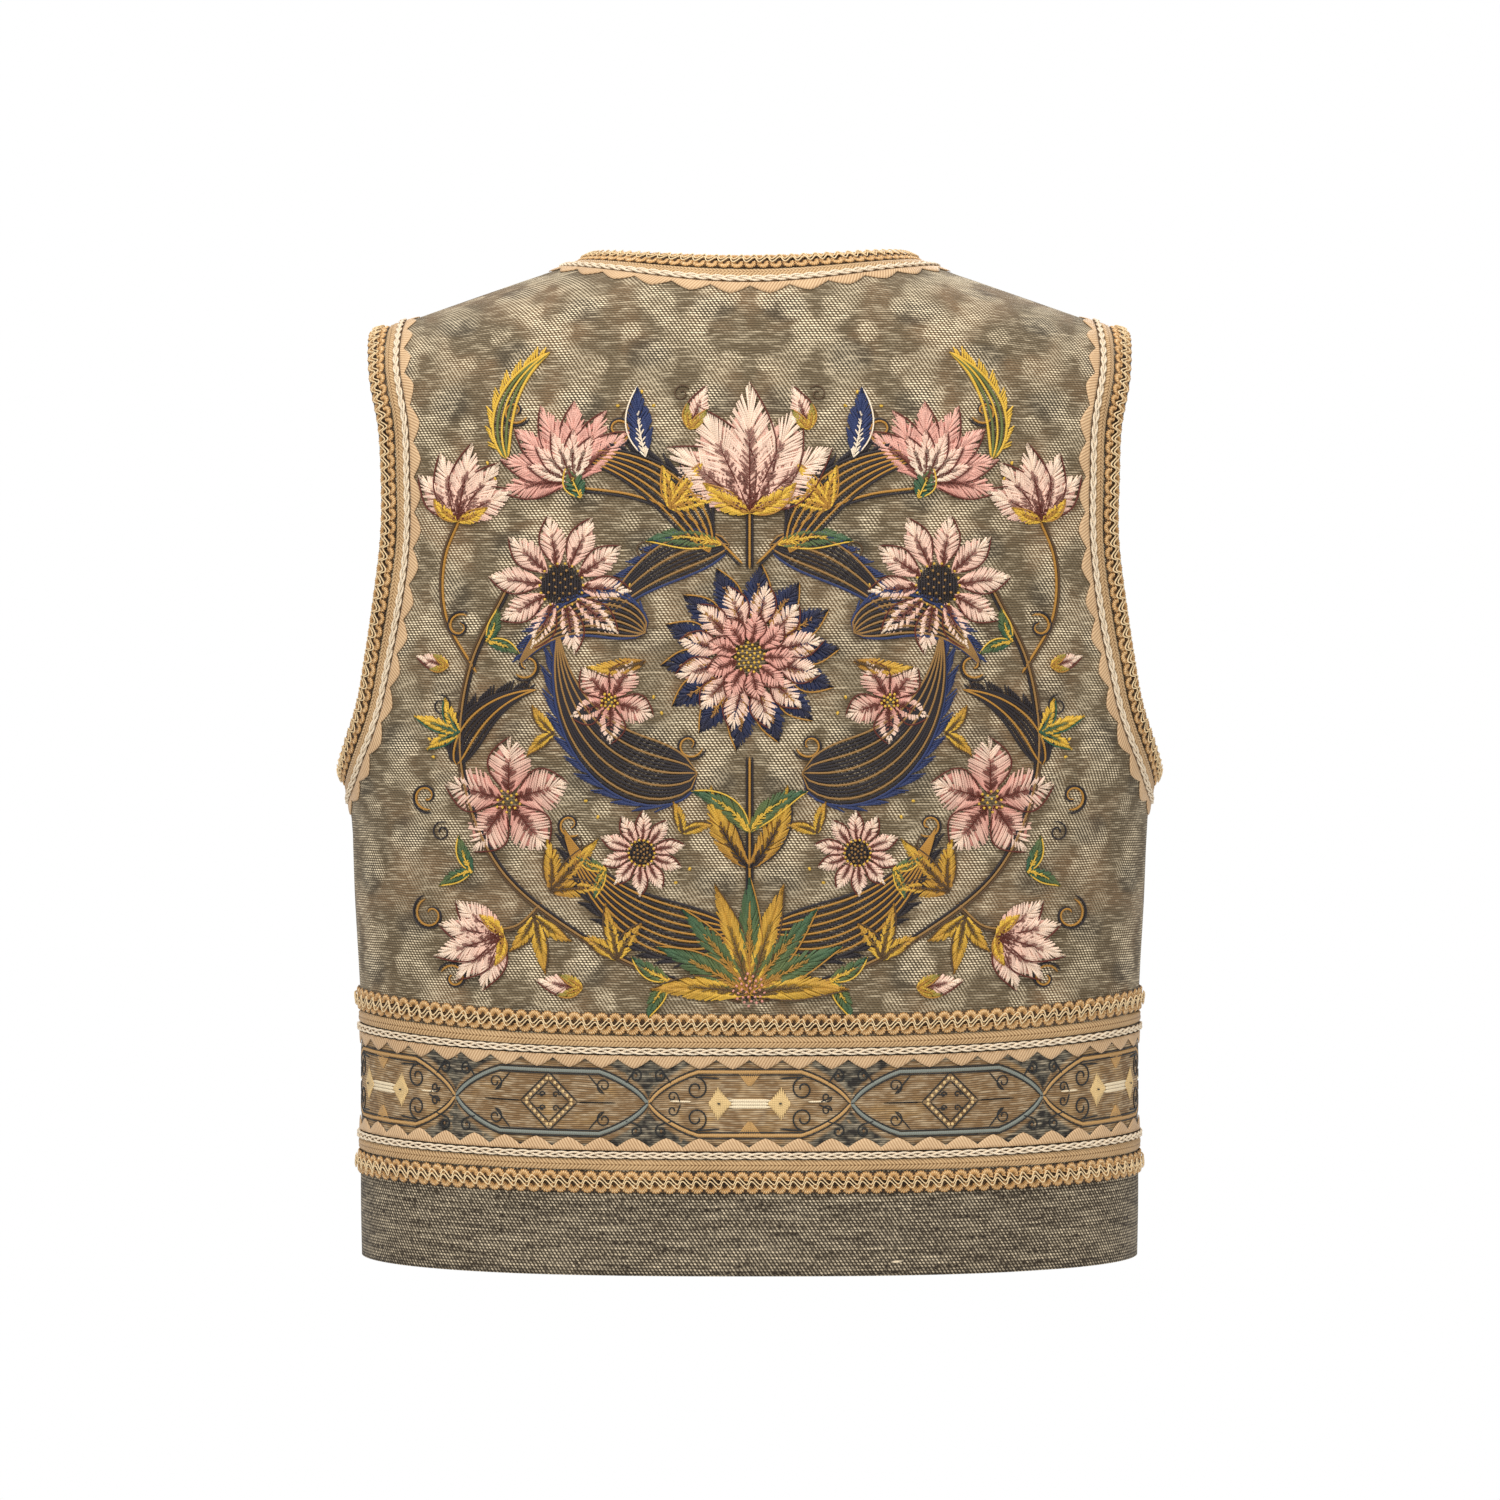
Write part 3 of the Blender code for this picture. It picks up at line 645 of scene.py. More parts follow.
def brocadeFinish():
    # Ribbed jacquard: figure areas carry pale twill floats, roundels are darker, and the dye is uneven
    made, tree, shader = finish("brocade", *brocade["surface"])
    weave, xyz = woven(tree)
    rib, figure = effect(tree, ribs, weave), effect(tree, ogee, weave)
    fold = node(tree, "ShaderNodeCombineXYZ", {0: reckon(tree, "ABSOLUTE", xyz[0]), 1: xyz[1]}).outputs[0]
    cloud = noise(tree, fold, brocade["cloudScale"], 3.0)
    patch = noise(tree, fold, brocade["patchScale"], 2.0, 0.6)
    brown = reckon(tree, "MULTIPLY", ramp(tree, patch, 0.42, 0.78), brocade["patches"])
    base = blendColour(tree, brown, brocade["ground"], brocade["warm"])
    dark = reckon(tree, "MULTIPLY", figure["Roundel"], brocade["roundels"])
    base = blendColour(tree, dark, base, brocade["dark"])
    lit = reckon(tree, "MULTIPLY", figure["Figure"], ramp(tree, cloud, 0.20, 0.60))
    share = reckon(tree, "MULTIPLY", effect(tree, specks, weave)["Speck"],
                   reckon(tree, "MULTIPLY_ADD", lit, *brocade["floats"]))
    streak = reckon(tree, "MULTIPLY", rib["Streaks"], rib["Height"])
    share = reckon(tree, "MULTIPLY_ADD", streak, brocade["streaks"], share, clamp=True)
    colour = blendColour(tree, share, base, brocade["pale"])
    stain(tree, shader, colour, reckon(tree, "MULTIPLY_ADD", rib["Height"], *brocade["shade"]))
    emboss(tree, shader, reckon(tree, "MULTIPLY_ADD", share, 0.8, rib["Height"]), *brocade["bump"])
    return made


band = {
    "middle": (form["upperTrim"] + form["lowerTrim"]) / 2,
    "half": 0.0186,
    "repeat": 0.208,
    "rib": 0.0011,
    "ground": linear(126, 98, 66),
    "light": linear(160, 130, 92),
    "shade": linear(46, 42, 38),
    "blue": linear(78, 74, 64),
    "ochre": linear(176, 140, 88),
    "surface": (0.82, 0.1),
    "bars": (330.0, 3.2),
    "barShare": 0.6,
    "patches": 0.6,
    "streaks": (1.2, 0.06),
    # Painted shade in the rib grooves: the colour is scaled by this factor times rib height, plus this
    # offset
    "tone": (1.05, 0.28),
    "bump": (0.5, 0.0003),
}


def bandFinish():
    # Figured band: a chain of ovals |v| < h min(1, 1.25 |cos(2 pi g / repeat)|^0.6) in ribbed brown, dark
    # mottled corners between them, and slanting lighter bars in every other oval
    made, tree, shader = finish("band", *band["surface"])
    weave, xyz = woven(tree)
    rib = effect(tree, ribs, weave, Pitch=band["rib"])
    wave = reckon(tree, "COSINE", reckon(tree, "MULTIPLY", xyz[0], 2 * math.pi / band["repeat"]))
    up = reckon(tree, "DIVIDE", reckon(tree, "SUBTRACT", xyz[1], band["middle"]), band["half"])
    up = reckon(tree, "ABSOLUTE", up)
    arch = reckon(tree, "POWER", reckon(tree, "ABSOLUTE", wave), 0.6)
    arch = reckon(tree, "MINIMUM", reckon(tree, "MULTIPLY", arch, 1.25), 1.0)
    inside = ramp(tree, reckon(tree, "SUBTRACT", arch, up), -0.16, -0.04)
    along, rise = band["bars"]
    slant = reckon(tree, "MULTIPLY", reckon(tree, "ABSOLUTE", xyz[0]), along)
    slant = reckon(tree, "MULTIPLY_ADD", up, rise, slant)
    bars = ramp(tree, reckon(tree, "SINE", slant), -0.1, 0.7)
    bars = reckon(tree, "MULTIPLY", bars, ramp(tree, wave, 0.15, 0.4))
    mottle, cloud = noise(tree, weave, 210.0), noise(tree, weave, 60.0, 3.0)
    bars = reckon(tree, "MULTIPLY", bars, band["barShare"])
    patches = reckon(tree, "MULTIPLY", ramp(tree, cloud, 0.50, 0.80), band["patches"])
    oval = blendColour(tree, patches, blendColour(tree, bars, band["ground"], band["light"]), band["ochre"])
    corner = blendColour(tree, ramp(tree, mottle, 0.42, 0.58), band["shade"], band["blue"])
    corner = blendColour(tree, ramp(tree, mottle, 0.60, 0.74), corner, band["light"])
    base = blendColour(tree, inside, corner, oval)
    streak = reckon(tree, "MULTIPLY_ADD", rib["Streaks"], *band["streaks"], clamp=True)
    base = blendColour(tree, streak, base, brocade["pale"])
    # Painted shade: the colour darkens in the grooves between the ribs
    stain(tree, shader, base, reckon(tree, "MULTIPLY_ADD", rib["Height"], *band["tone"]))
    emboss(tree, shader, rib["Height"], *band["bump"])
    return made


linen = {
    "dark": linear(56, 46, 34),
    "light": linear(236, 216, 182),
    "surface": (0.85, 0.1),
    "run": 36.0,
    "row": 0.0015,
    "pitch": 0.0020,
    "step": 0.5,
    "slubs": (60.0, 240.0, 1.0),
    "dots": 0.8,
    "streaks": 0.45,
    "bump": (0.6, 0.0004),
}


def linenFinish():
    # Plain linen: a lattice of pale dots, brighter in some rows than in others, on grey, with a few slubs
    made, tree, shader = finish("linen", *linen["surface"])
    weave, _ = woven(tree)
    speck = effect(tree, specks, weave, Pitch=linen["pitch"], Row=linen["row"], Step=linen["step"])["Speck"]
    rib = effect(tree, ribs, weave, Pitch=linen["row"], Run=linen["run"])
    fleck = noise(tree, weave, 420.0, 1.0)
    spot = node(tree, "ShaderNodeMapping", {"Vector": weave, "Scale": linen["slubs"]}).outputs[0]
    slub = noise(tree, spot, 1.0, 0.0)
    lit = reckon(tree, "MULTIPLY_ADD", rib["Streaks"], 1.2, ramp(tree, fleck, 0.15, 0.75))
    share = reckon(tree, "MULTIPLY", speck, reckon(tree, "MULTIPLY", lit, linen["dots"]), clamp=True)
    share = reckon(tree, "MULTIPLY_ADD", rib["Streaks"], linen["streaks"], share, clamp=True)
    share = reckon(tree, "MAXIMUM", share, ramp(tree, slub, 0.84, 0.90))
    tree.links.new(blendColour(tree, share, linen["dark"], linen["light"]), shader.inputs["Base Color"])
    emboss(tree, shader, reckon(tree, "ADD", rib["Height"], share), *linen["bump"])
    return made


# Cloth: columns and rows of its grids

fine = {"neckBack": 28, "neckFront": 48, "armhole": 72, "band": 60, "sideRows": 12, "ring": 9,
        "bandRows": 14, "hemRows": 12}


def stripBlock(turns, top, bottom, rows):
    # A patch of even rows of level lines, from one height to another, over these turns
    heights = np.linspace(top, bottom, rows + 1)
    falls = np.array([levelFall(turns, height) for height in heights])
    return np.stack([np.broadcast_to(turns, falls.shape), falls], axis=-1)


def fromFront(line):
    # The same places along the shoulder line, counted as the front's
    return np.stack([math.pi - line[..., 0], np.zeros(line.shape[:-1])], axis=-1)


def buildCloth():
    # The nine sheets, from grids of places: panels, band and hem, each a back and two fronts
    offsets = np.linspace(0, form["trimReach"], fine["ring"]).tolist()
    neck = neckLines(offsets, fine["neckBack"], fine["neckFront"])
    armhole = armholeLines(offsets, fine["armhole"])
    backTurns, frontTurns = bandTurns(fine["band"])
    middle = fine["neckBack"] + fine["neckFront"]
    shoulder = middle + fine["neckBack"]
    back = panelBlocks(neck[middle:shoulder + 1], armhole[:fine["armhole"] + 1], backTurns,
                       fine["band"] - fine["neckBack"], fine["sideRows"])
    frontNeck = np.vstack([neck[:shoulder:-1], fromFront(neck[shoulder])[None]])
    tip = fine["armhole"]
    frontArmhole = np.vstack([armhole[:tip:-1], fromFront(armhole[tip])[None]])
    front = panelBlocks(frontNeck, frontArmhole, frontTurns[::-1],
                        fine["band"] - fine["neckFront"], fine["sideRows"])
    upper = form["upperTrim"] - form["seam"] - form["gap"] / 2
    lower = form["lowerTrim"] + form["seam"]
    bandSpan = (upper, lower + form["gap"] / 2, fine["bandRows"])
    hemSpan = (lower - form["gap"] / 2, form["hem"], fine["hemRows"])
    made = {}
    for part, backPatches, frontPatches in (
        ("Panel", back, front),
        ("Band", [stripBlock(backTurns, *bandSpan)], [stripBlock(frontTurns, *bandSpan)]),
        ("Hem", [stripBlock(backTurns, *hemSpan)], [stripBlock(frontTurns, *hemSpan)]),
    ):
        weave = weaveOf if part == "Panel" else levelWeave
        clear = [seamClear(p, False) for p in backPatches]
        made["back" + part] = shell("back" + part, clear + [mirrored(p) for p in clear], weave)
        clear = [seamClear(p, True) for p in frontPatches]
        made["frontRight" + part] = shell("frontRight" + part, clear, weave)
        made["frontLeft" + part] = shell("frontLeft" + part, [mirrored(p) for p in clear], weave)
    return made


print("cloth")
pieces = buildCloth()
clothFinishes = {"brocade": brocadeFinish(), "band": bandFinish(), "plain": linenFinish()}
for name, cadNode, slot in (
    ("backPanel", "back", "brocade"), ("frontRightPanel", "front_right", "brocade"),
    ("frontLeftPanel", "front_left", "brocade"), ("backBand", "back_band", "band"),
    ("frontRightBand", "front_band_right", "band"), ("frontLeftBand", "front_band_left", "band"),
    ("backHem", "back_hem", "plain"), ("frontRightHem", "front_hem_right", "plain"),
    ("frontLeftHem", "front_hem_left", "plain"),
):
    pieces[name].data.materials.append(clothFinishes[slot])
    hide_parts(cadNode)


# Trims, each laid along a run: lengths along its edge and distances in from it

trim = {
    "bed": 0.0003,
    "spacing": 0.004,
    "gimp": (0.0002, 0.0115),
    "gimpSpacing": 0.003,
    "gimpLift": 0.0006,
    "fanWide": 0.00345,
    "fanDeep": 0.0040,
    "fanLift": 0.0013,
    "fanRidge": 0.0004,
    "fanRows": (0.14, 0.42, 0.76, 1.0),
    # Painted light on the fans: body tone above a shaded root, painted highlight on raised rays, painted
    # shade at the rim
    "fanPaintedLight": (0.52, 0.46, 0.60),
    "wideSpread": (0.99, 1.10),
    "deepSpread": (0.92, 1.06),
    "rays": 17,
    "rayEnd": 0.12,
    "zigzag": 0.0018,
    "cord": (0.00075, 0.00075),
    "cordShift": 0.0010,
    "cordLifts": (0.0022, 0.0024),
    "cordLean": 0.0005,
    "cordRoll": 0.0003,
    "tape": (0.0118, 0.0173),
    "tapeLift": 0.0011,
    "chain": (0.0175, 0.0212),
    "chainLift": 0.0004,
    "chainPitch": 0.0198,
    "chainSway": 0.0012,
    "chainRoll": 0.0005,
    "strand": (0.0013, 0.0011),
    "teeth": (0.0216, 0.0234, 0.0280),
    "teethLift": 0.0008,
    "toothRound": 0.55,
}
# Lines in from the edge, stations along the runs, and teeth of the ribbon on them
runSizes = {"lines": 10, "neckBack": 70, "neckFront": 120, "armhole": 200, "band": 150}
toothCounts = {"neck": 38, "armhole": 36, "band": 60}
tubeSides = 4


def runOf(places, closed, teeth):
    # A run of trim: points and directions out over its fine lines, and the length travelled at each
    points, normals = cloth(places[..., 0], places[..., 1])
    middle = points[:, places.shape[1] // 2]
    travelled = np.concatenate([[0], np.cumsum(np.linalg.norm(np.diff(middle, axis=0), axis=1))])
    return {"points": points, "normals": normals, "travelled": travelled, "length": travelled[-1],
            "closed": closed, "teeth": teeth}


def onRun(run, along, inset, out):
    # Points over a run, bilinear between its lines, moved out from the cloth, and the directions out
    along, inset, out = np.broadcast_arrays(np.asarray(along, float), inset, out)
    rows, columns = run["points"].shape[:2]
    length = run["length"]
    along = np.mod(along, length) if run["closed"] else np.clip(along, 0, length)
    i = np.interp(along, run["travelled"], np.arange(rows))
    j = np.clip(inset / form["trimReach"], 0, 1) * (columns - 1)
    low, left = np.minimum(i.astype(int), rows - 2), np.minimum(j.astype(int), columns - 2)
    i, j = (i - low)[..., None], (j - left)[..., None]

    def between(table):
        # A table's values between its lines: bilinear in i and j
        return ((1 - i) * ((1 - j) * table[low, left] + j * table[low, left + 1])
                + i * ((1 - j) * table[low + 1, left] + j * table[low + 1, left + 1]))

    normals = unit(between(run["normals"]))
    return between(run["points"]) + normals * out[..., None], normals


def buildRuns():
    # The five runs of trim: neck, both armholes and the band's two edges
    offsets = np.linspace(0, form["trimReach"], runSizes["lines"]).tolist()
    neck = neckLines(offsets, runSizes["neckBack"], runSizes["neckFront"])
    armhole = armholeLines(offsets, runSizes["armhole"])
    backTurns, frontTurns = bandTurns(runSizes["band"])
    half = np.concatenate([backTurns, frontTurns[1:]])
    turns = np.concatenate([-half[::-1], half[1:]])
    runs = {"neck": runOf(neck, False, toothCounts["neck"]),
            "armhole_right": runOf(armhole, True, toothCounts["armhole"]),
            "armhole_left": runOf(mirrored(armhole), True, toothCounts["armhole"])}
    for name, start, way in (("upper", form["upperTrim"], -1), ("lower", form["lowerTrim"], 1)):
        places = np.array([levelFall(turns, start + way * offset) for offset in offsets]).T
        spread = np.broadcast_to(turns[:, None], places.shape)
        runs[name] = runOf(np.stack([spread, places], axis=-1), False, toothCounts["band"])
    return runs


def strip(run, marks, near, far, lift, rows):
    # A flat trim along a run: at each mark a ring of rows points over the top, from near to far, lifted
    # by lift(across, mark), and two below. Returns points, faces and their places on the trim.
    across = np.linspace(0, 1, rows)
    near, far = np.broadcast_to(near, marks.shape), np.broadcast_to(far, marks.shape)
    inset = near[:, None] + (far - near)[:, None] * across
    out = trim["bed"] + lift(across[None, :], marks[:, None]) + np.zeros_like(inset)
    inset = np.concatenate([inset, far[:, None], near[:, None]], axis=1)
    out = np.concatenate([out, np.full((len(marks), 2), trim["bed"])], axis=1)
    if not run["closed"]:
        out[[0, -1]] = trim["bed"]
    along = np.broadcast_to(marks[:, None], inset.shape)
    points, _ = onRun(run, along, inset, out)
    quads = gridQuads(len(marks), rows + 2, True, run["closed"])
    uv = np.stack([along, inset], axis=-1)
    return points.reshape(-1, 3), quads, uv.reshape(-1, 2)


def marksOf(run, count):
    # Even marks along a run, without a second one where a closed run meets itself
    return np.linspace(0, run["length"], count, endpoint=not run["closed"])


def strands(centres, normals, width, height, closed=False, taper=1.0):
    # Tubes along many centrelines at once: centre + side cos(a) w / 2 + out sin(a) h / 2
    ways = np.gradient(centres, axis=1)
    if closed:
        ways = np.roll(centres, -1, axis=1) - np.roll(centres, 1, axis=1)
    ways = unit(ways)
    side = unit(np.cross(normals, ways))
    up = np.cross(ways, side)
    angles = (np.arange(tubeSides) + 0.5) * 2 * math.pi / tubeSides - math.pi / 2
    wide = (np.broadcast_to(width, centres.shape[:2]) * taper)[..., None, None] / 2
    high = (np.broadcast_to(height, centres.shape[:2]) * taper)[..., None, None] / 2
    ring = (side[..., None, :] * np.cos(angles)[:, None] * wide
            + up[..., None, :] * np.sin(angles)[:, None] * high)
    points = centres[..., None, :] + ring
    count, long = centres.shape[:2]
    quads = gridQuads(long, tubeSides, True, closed)[:, ::-1]
    quads = (quads[None] + (np.arange(count) * long * tubeSides)[:, None, None]).reshape(-1, 4)
    travelled = np.cumsum(np.linalg.norm(np.diff(centres, axis=1, prepend=centres[:, :1]), axis=-1), axis=1)
    uv = np.stack(np.broadcast_arrays(travelled[..., None], angles / 1000), axis=-1)
    return points.reshape(-1, 3), quads, uv.reshape(-1, 2)


def joined(parts):
    # Several sets of points, faces and places as one, with each set's tone at its points
    points, quads, uvs, tones, start = [], [], [], [], 0
    for (made, faces, uv), tone in parts:
        points.append(made)
        quads.append(faces + start)
        uvs.append(uv)
        tones.append(np.broadcast_to(tone, (len(made),) + np.shape(tone)[1:]))
        start += len(made)
    return np.vstack(points), np.vstack(quads), np.vstack(uvs), np.concatenate(tones)


def shadeStrip(run, near, far, spacing, height):
    # The dark flat strip under a braid, in from its edges by its own height: painted shade between its
    # loops and strands
    marks = marksOf(run, int(run["length"] / spacing))
    return strip(run, marks, near + height, far - height, lambda across, mark: height, 3), 0.0


def cordOn(run, along, inset, out, size):
    # One cord laid on a run
    centres, normals = onRun(run, along, inset, out)
    return strands(centres[None], normals[None], *size, closed=run["closed"]), 1.0


def gimpOf(run):
    # Looped gimp: a dark ground strip of painted shade, two rows of fans with corrugated rays, and two
    # zigzag cords on top. Fan: inset = c +- deep r sin^0.8(f), along = s + wide r cos(f), out =
    # lift sin(pi (0.05 + 0.88 r^1.3)) + a ridge on every other ray, toned with painted shade at its root
    # and rim and a painted highlight on raised rays. Cord: inset = c +- shift + A sin(t), along = s - lean
    # sin(t)
    near, far = trim["gimp"]
    middle = (near + far) / 2
    count = int(round(run["length"] / (2 * trim["fanWide"])))
    pitch = run["length"] / count
    rays = np.linspace(-trim["rayEnd"], math.pi + trim["rayEnd"], trim["rays"])
    r, f = np.meshgrid(trim["fanRows"], rays, indexing="ij")
    raised = np.where(np.arange(trim["rays"]) % 2 == 0, 1.0, -0.6)
    lift = trim["fanLift"] * np.sin(math.pi * (0.05 + 0.88 * r**1.3)) + trim["fanRidge"] * raised * r
    # Painted shade near the root, under the cords, and at the rim between lobes; painted highlight on
    # raised rays
    body, crestHighlight, rim = trim["fanPaintedLight"]
    shade = body * np.minimum(1, (r / 0.5) ** 2) + crestHighlight * (raised > 0) * r - rim * (r > 0.9)
    cells = gridQuads(*r.shape)
    parts = [shadeStrip(run, near, far, trim["gimpSpacing"], trim["gimpLift"])]
    for way, start in ((-1, 0.25), (1, 0.5)):
        spots = ((np.arange(count) + start) * pitch)[:, None, None]
        wide = (pitch / 2 * rng.uniform(*trim["wideSpread"], count))[:, None, None]
        deep = (trim["fanDeep"] * rng.uniform(*trim["deepSpread"], count))[:, None, None]
        along = spots + wide * r * np.cos(f)
        inset = way * deep * r * np.sign(np.sin(f)) * np.abs(np.sin(f)) ** 0.8
        inset = middle + way * (far - near) / 2 - way * deep + inset
        points, _ = onRun(run, along, inset, trim["bed"] + np.maximum(0.0001, lift))
        faces = cells[None, :, ::way] + (np.arange(count) * r.size)[:, None, None]
        uv = np.stack([along, inset], axis=-1).reshape(-1, 2)
        fans = (points.reshape(-1, 3), faces.reshape(-1, 4), uv)
        parts.append((fans, np.broadcast_to(shade, along.shape).reshape(-1)))
    turns = np.linspace(0, 2 * math.pi * count, count * 13, endpoint=not run["closed"])
    along = pitch * turns / (2 * math.pi) - trim["cordLean"] * np.sin(turns)
    for sign, high in zip((1, -1), trim["cordLifts"]):
        inset = middle + sign * trim["cordShift"] + trim["zigzag"] * np.sin(turns)
        out = trim["bed"] + high + trim["cordRoll"] * np.cos(turns)
        parts.append(cordOn(run, along, inset, out, trim["cord"]))
    return joined(parts)


def tapeOf(run):
    # Ridged tape: lift (1 - |2q - 1|^4), less a furrow near its middle
    marks = marksOf(run, int(run["length"] / trim["spacing"]))
    body = strip(run, marks, *trim["tape"], lambda across, mark: trim["tapeLift"] * (
        1 - np.abs(2 * across - 1) ** 4 - 0.25 * np.exp(-((across - 0.4) / 0.12) ** 2)), 6)
    return joined([(body, 0.5)])


def chainOf(run):
    # Three-strand plait over a strip of painted shade: inset = c + A sin(t + 2 pi k / 3), out = h + B sin(2
    # t + 4 pi k / 3)
    near, far = trim["chain"]
    count = int(round(run["length"] / trim["chainPitch"]))
    turns = np.linspace(0, 2 * math.pi * count, count * 21, endpoint=not run["closed"])
    along = run["length"] * turns / (2 * math.pi * count)
    parts = [shadeStrip(run, near, far, trim["spacing"], trim["chainLift"])]
    for strand in range(3):
        phase = turns + strand * 2 * math.pi / 3
        inset = (near + far) / 2 + trim["chainSway"] * np.sin(phase)
        out = trim["bed"] + trim["strand"][1] + trim["chainRoll"] * np.sin(2 * phase)
        parts.append(cordOn(run, along, inset, out, trim["strand"]))
    return joined(parts)


def teethOf(run):
    # Toothed ribbon: over each tooth its far edge is a blend of a sine and a straight rise and fall
    root, valley, tip = trim["teeth"]
    marks = marksOf(run, run["teeth"] * 12 + (0 if run["closed"] else 1))
    share = np.mod(marks / run["length"] * run["teeth"], 1)
    rise = 1 - np.abs(2 * share - 1)
    curve = trim["toothRound"] * np.sin(math.pi / 2 * rise) + (1 - trim["toothRound"]) * rise
    body = strip(run, marks, root, valley + (tip - valley) * curve,
                 lambda across, mark: trim["teethLift"] * (1 - 0.5 * across**4), 5)
    return joined([(body, 0.5)])


# Braid yarns: dark, middle and pale tone, the pitch of their threads, and how far these shade them. The
# dark tone also colours the painted shade under the gimp and the plait
yarn = {
    "gimp": (linear(40, 22, 8), linear(204, 154, 94), linear(255, 226, 176), 0.0009, 0.4),
    "tape": (linear(112, 80, 46), linear(190, 152, 106), linear(214, 180, 134), 0.0019, 0.8),
    "chain": (linear(112, 82, 52), linear(212, 182, 142), linear(246, 226, 196), 0.0010, 0.4),
    "teeth": (linear(150, 110, 72), linear(208, 172, 130), linear(230, 198, 156), 0.0016, 0.6),
}

yarnLook = {
    "surface": (0.62, 0.15),
    "grainScale": 420.0,
    "cloudScale": 45.0,
    "clouds": 0.35,
    "slant": 0.6,
    "turnWide": 0.0005,
    "turnTone": 0.2,
    "bump": (0.6, 0.0003),
}


def trimFinish(kind):
    # Braid yarn: tone from dark through middle to pale, with the threads' own slant as bump and shade. On
    # the tape they turn at its middle, as herringbone
    low, middle, high, pitch, contrast = yarn[kind]
    made, tree, shader = finish(kind, *yarnLook["surface"])
    # The tone attribute holds the painted shade and highlights of the gimp's fans and the braids' shade
    # strips
    tone = node(tree, "ShaderNodeAttribute", attribute_name="tone").outputs["Fac"]
    _, xyz = woven(tree)
    if kind == "tape":
        bend = reckon(tree, "ABSOLUTE", reckon(tree, "SUBTRACT", xyz[1], sum(trim["tape"]) / 2))
        turn = reckon(tree, "ADD", ramp(tree, bend, 0.0, yarnLook["turnWide"]), yarnLook["turnTone"])
        tone = reckon(tree, "MULTIPLY", tone, turn)
    else:
        bend = reckon(tree, "MULTIPLY", xyz[1], yarnLook["slant"])
    wave = waveOf(tree, reckon(tree, "DIVIDE", reckon(tree, "ADD", xyz[0], bend), pitch))
    place = node(tree, "ShaderNodeTexCoord").outputs["Object"]
    grain, cloud = (noise(tree, place, yarnLook[key]) for key in ("grainScale", "cloudScale"))
    for part, weight in ((cloud, yarnLook["clouds"]), (wave, contrast)):
        tone = reckon(tree, "MULTIPLY_ADD", reckon(tree, "SUBTRACT", part, 0.5), weight, tone)
    colour = blendColour(tree, ramp(tree, tone, 0.0, 0.5), low, middle)
    colour = blendColour(tree, ramp(tree, tone, 0.55, 1.0), colour, high)
    tree.links.new(colour, shader.inputs["Base Color"])
    emboss(tree, shader, reckon(tree, "MULTIPLY_ADD", grain, 0.6, wave), *yarnLook["bump"])
    return made


def buildTrims():
    # Four trims on each of five runs, a piece for each
    builders = {"gimp": gimpOf, "tape": tapeOf, "chain": chainOf, "teeth": teethOf}
    finishes = {kind: trimFinish(kind) for kind in builders}
    for name, run in buildRuns().items():
        for kind, build in builders.items():
            *surface, tones = build(run)
            head, *rest = (name + "_" + kind).split("_")
            # The tone attribute carries the braid's painted shade and highlights
            piece = meshOf(head + "".join(word.title() for word in rest), *surface, {"tone": tones})
            piece.data.materials.append(finishes[kind])
            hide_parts(name + "_" + kind)
            pieces[piece.name] = piece


print("trims")
buildTrims()

# Embroidery on the back, sewn as single threads: a general floral design, the same on both sides

sewing = {
    "step": 0.00115,
    "satinWide": 0.0015,
    "satinHigh": 0.0010,
    "base": 0.0004,
    "layer": 0.0005,
    "arch": 0.0004,
    "dyeSpread": (0.86, 1.12),
    "padding": (-0.52, 0, 0.52),
    "paddingWide": 0.60,
    "paddingHigh": 0.0006,
    "paddingDrop": 0.00045,
    "slant": (0.16, 0.10),
    "edgeSpread": (0.93, 1.05),
    "shortSpread": (0.15, 0.55),
    "shortShare": 0.60,
    "shortEnd": 0.62,
    "shortWide": 0.0011,
    "veinWide": 0.0009,
    "rimWide": 0.0010,
    "scrollWide": (0.0013, 0.0017),
    "plumeGap": 0.0018,
    "fringeGap": 0.0015,
    "fringeWide": 0.0014,
    "fringe": (0.0018, 0.0034),
    "fringeRepeat": 0.0075,
    "knotHalf": 0.0005,
    "twist": 0.0011,
    "surface": (0.5, 0.06),
    "shade": (0.22, 0.86),
    "bump": (0.4, 0.0002),
}
dye = {
    "blush": linear(236, 184, 164)[:3],
    "cream": linear(246, 226, 198)[:3],
    "rose": linear(218, 150, 134)[:3],
    "oxblood": linear(96, 42, 30)[:3],
    "gold": linear(222, 178, 66)[:3],
    "ochre": linear(176, 126, 52)[:3],
    "tan": linear(150, 112, 62)[:3],
    "green": linear(52, 92, 70)[:3],
    "moss": linear(104, 112, 62)[:3],
    "navy": linear(48, 58, 96)[:3],
    "charcoal": linear(44, 38, 40)[:3],
    "brown": linear(88, 66, 44)[:3],
}
# Dyes of a motif: its body, its tips or light cords, and its veins or edge
pinks = ("blush", "cream", "oxblood")
roses = ("rose", "blush", "oxblood")
yellows = ("gold", "gold", "ochre")
golds = ("gold", "ochre", "brown")
greens = ("moss", "green", "gold")
darks = ("charcoal", "ochre", "charcoal")
blues = ("charcoal", "tan", "navy")


def polar(centre, r, f):
    # Places at distances r and directions f from a centre
    return np.asarray(centre) + np.stack([r * np.cos(f), r * np.sin(f)], axis=-1)


def midline(base, angle, length, bend, t):
    # Midline of a petal: base + length t, its heading turned by bend along the way
    return polar(base, length * t, angle + bend * t / 2)


